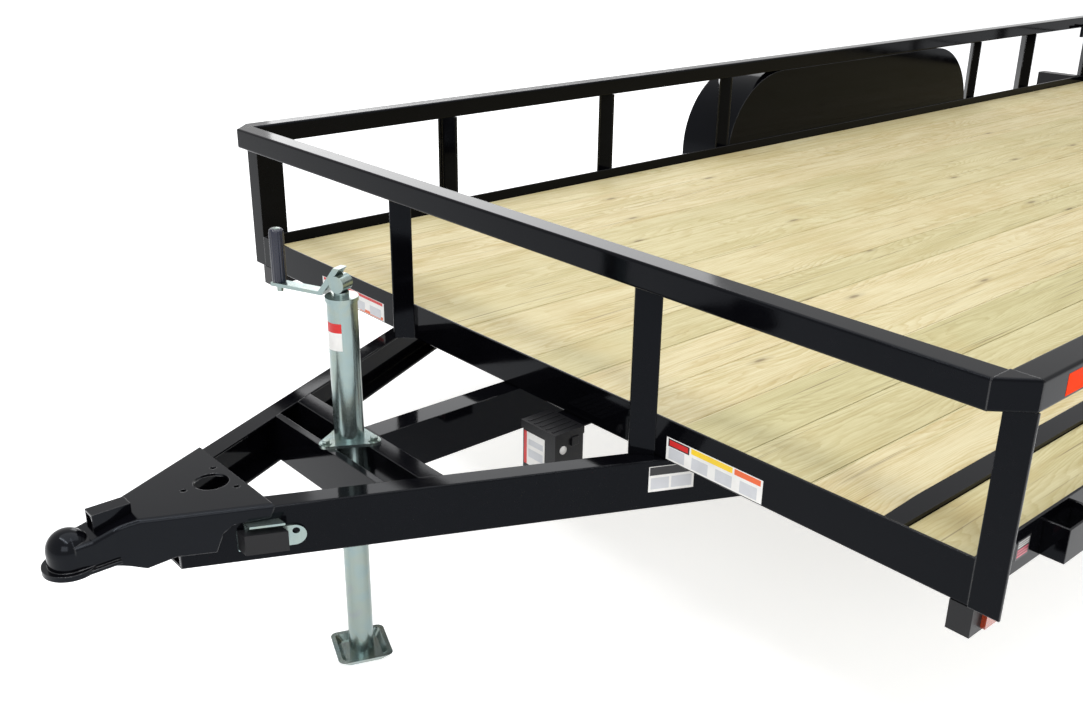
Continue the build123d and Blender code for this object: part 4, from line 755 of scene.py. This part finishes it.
def world():
    """White background, and a soft pale light from all round."""
    made = bpy.data.worlds.new("studio")
    bpy.context.scene.world = made
    made.use_nodes = True
    tree = made.node_tree
    tree.nodes.clear()
    lit = tree.nodes.new("ShaderNodeBackground")
    lit.inputs["Color"].default_value = (*WORLD_TINT, 1)
    lit.inputs["Strength"].default_value = WORLD_LEVEL
    white = tree.nodes.new("ShaderNodeBackground")
    white.inputs["Color"].default_value = (1, 1, 1, 1)
    mix = tree.nodes.new("ShaderNodeMixShader")
    out = tree.nodes.new("ShaderNodeOutputWorld")
    tree.links.new(seen_white(tree), mix.inputs[0])
    tree.links.new(lit.outputs[0], mix.inputs[1])
    tree.links.new(white.outputs[0], mix.inputs[2])
    tree.links.new(mix.outputs[0], out.inputs["Surface"])


def floor():
    """White floor that keeps the trailer's soft shadow."""
    mesh = bpy.data.meshes.new("floor")
    reach = FLOOR_HALF
    mesh.from_pydata([(-reach, -reach, 0), (reach, -reach, 0), (reach, reach, 0), (-reach, reach, 0)], [],
                     [[0, 1, 2, 3]])
    f = Finish("floor")
    tree = f.tree
    cloud = f.noise(0.8, 2.0)
    f.set(Base_Color=f.mix(cloud, FLOOR_DULL, FLOOR_PALE), Roughness=0.6, Specular_IOR_Level=0.1)
    glow = tree.nodes.new("ShaderNodeEmission")
    glow.inputs["Strength"].default_value = FLOOR_GLOW
    mix = tree.nodes.new("ShaderNodeMixShader")
    add = tree.nodes.new("ShaderNodeAddShader")
    output = tree.nodes["Material Output"]
    tree.links.new(f.shader.outputs[0], add.inputs[0])
    tree.links.new(glow.outputs[0], add.inputs[1])
    tree.links.new(seen_white(tree), mix.inputs[0])
    tree.links.new(f.shader.outputs[0], mix.inputs[1])
    tree.links.new(add.outputs[0], mix.inputs[2])
    tree.links.new(mix.outputs[0], output.inputs["Surface"])
    mesh.materials.append(f.mat)
    obj = bpy.data.objects.new("floor", mesh)
    bpy.context.scene.collection.objects.link(obj)


def lamp(name, spot, target, size, power):
    """A rectangular lamp at `spot` that faces `target`."""
    data = bpy.data.lights.new(name, "AREA")
    data.shape = "RECTANGLE"
    data.size, data.size_y = size
    data.energy = power
    obj = bpy.data.objects.new(name, data)
    bpy.context.scene.collection.objects.link(obj)
    obj.location = spot
    obj.rotation_euler = (Vector(target) - Vector(spot)).to_track_quat("-Z", "Y").to_euler()


deck()
for end in ("front", "rear"):
    for side in ("left", "right"):
        body = f"wheel_{end}_{side}"
        tyre(body, f"tyre_{end}_{side}")
        lug_nuts(body, f"hub_{end}_{side}")
labels()
jack_trim()
battery_trim()
camera()
world()
floor()
for row in LAMPS:
    lamp(*row)
bpy.context.scene.view_settings.view_transform = "Standard"
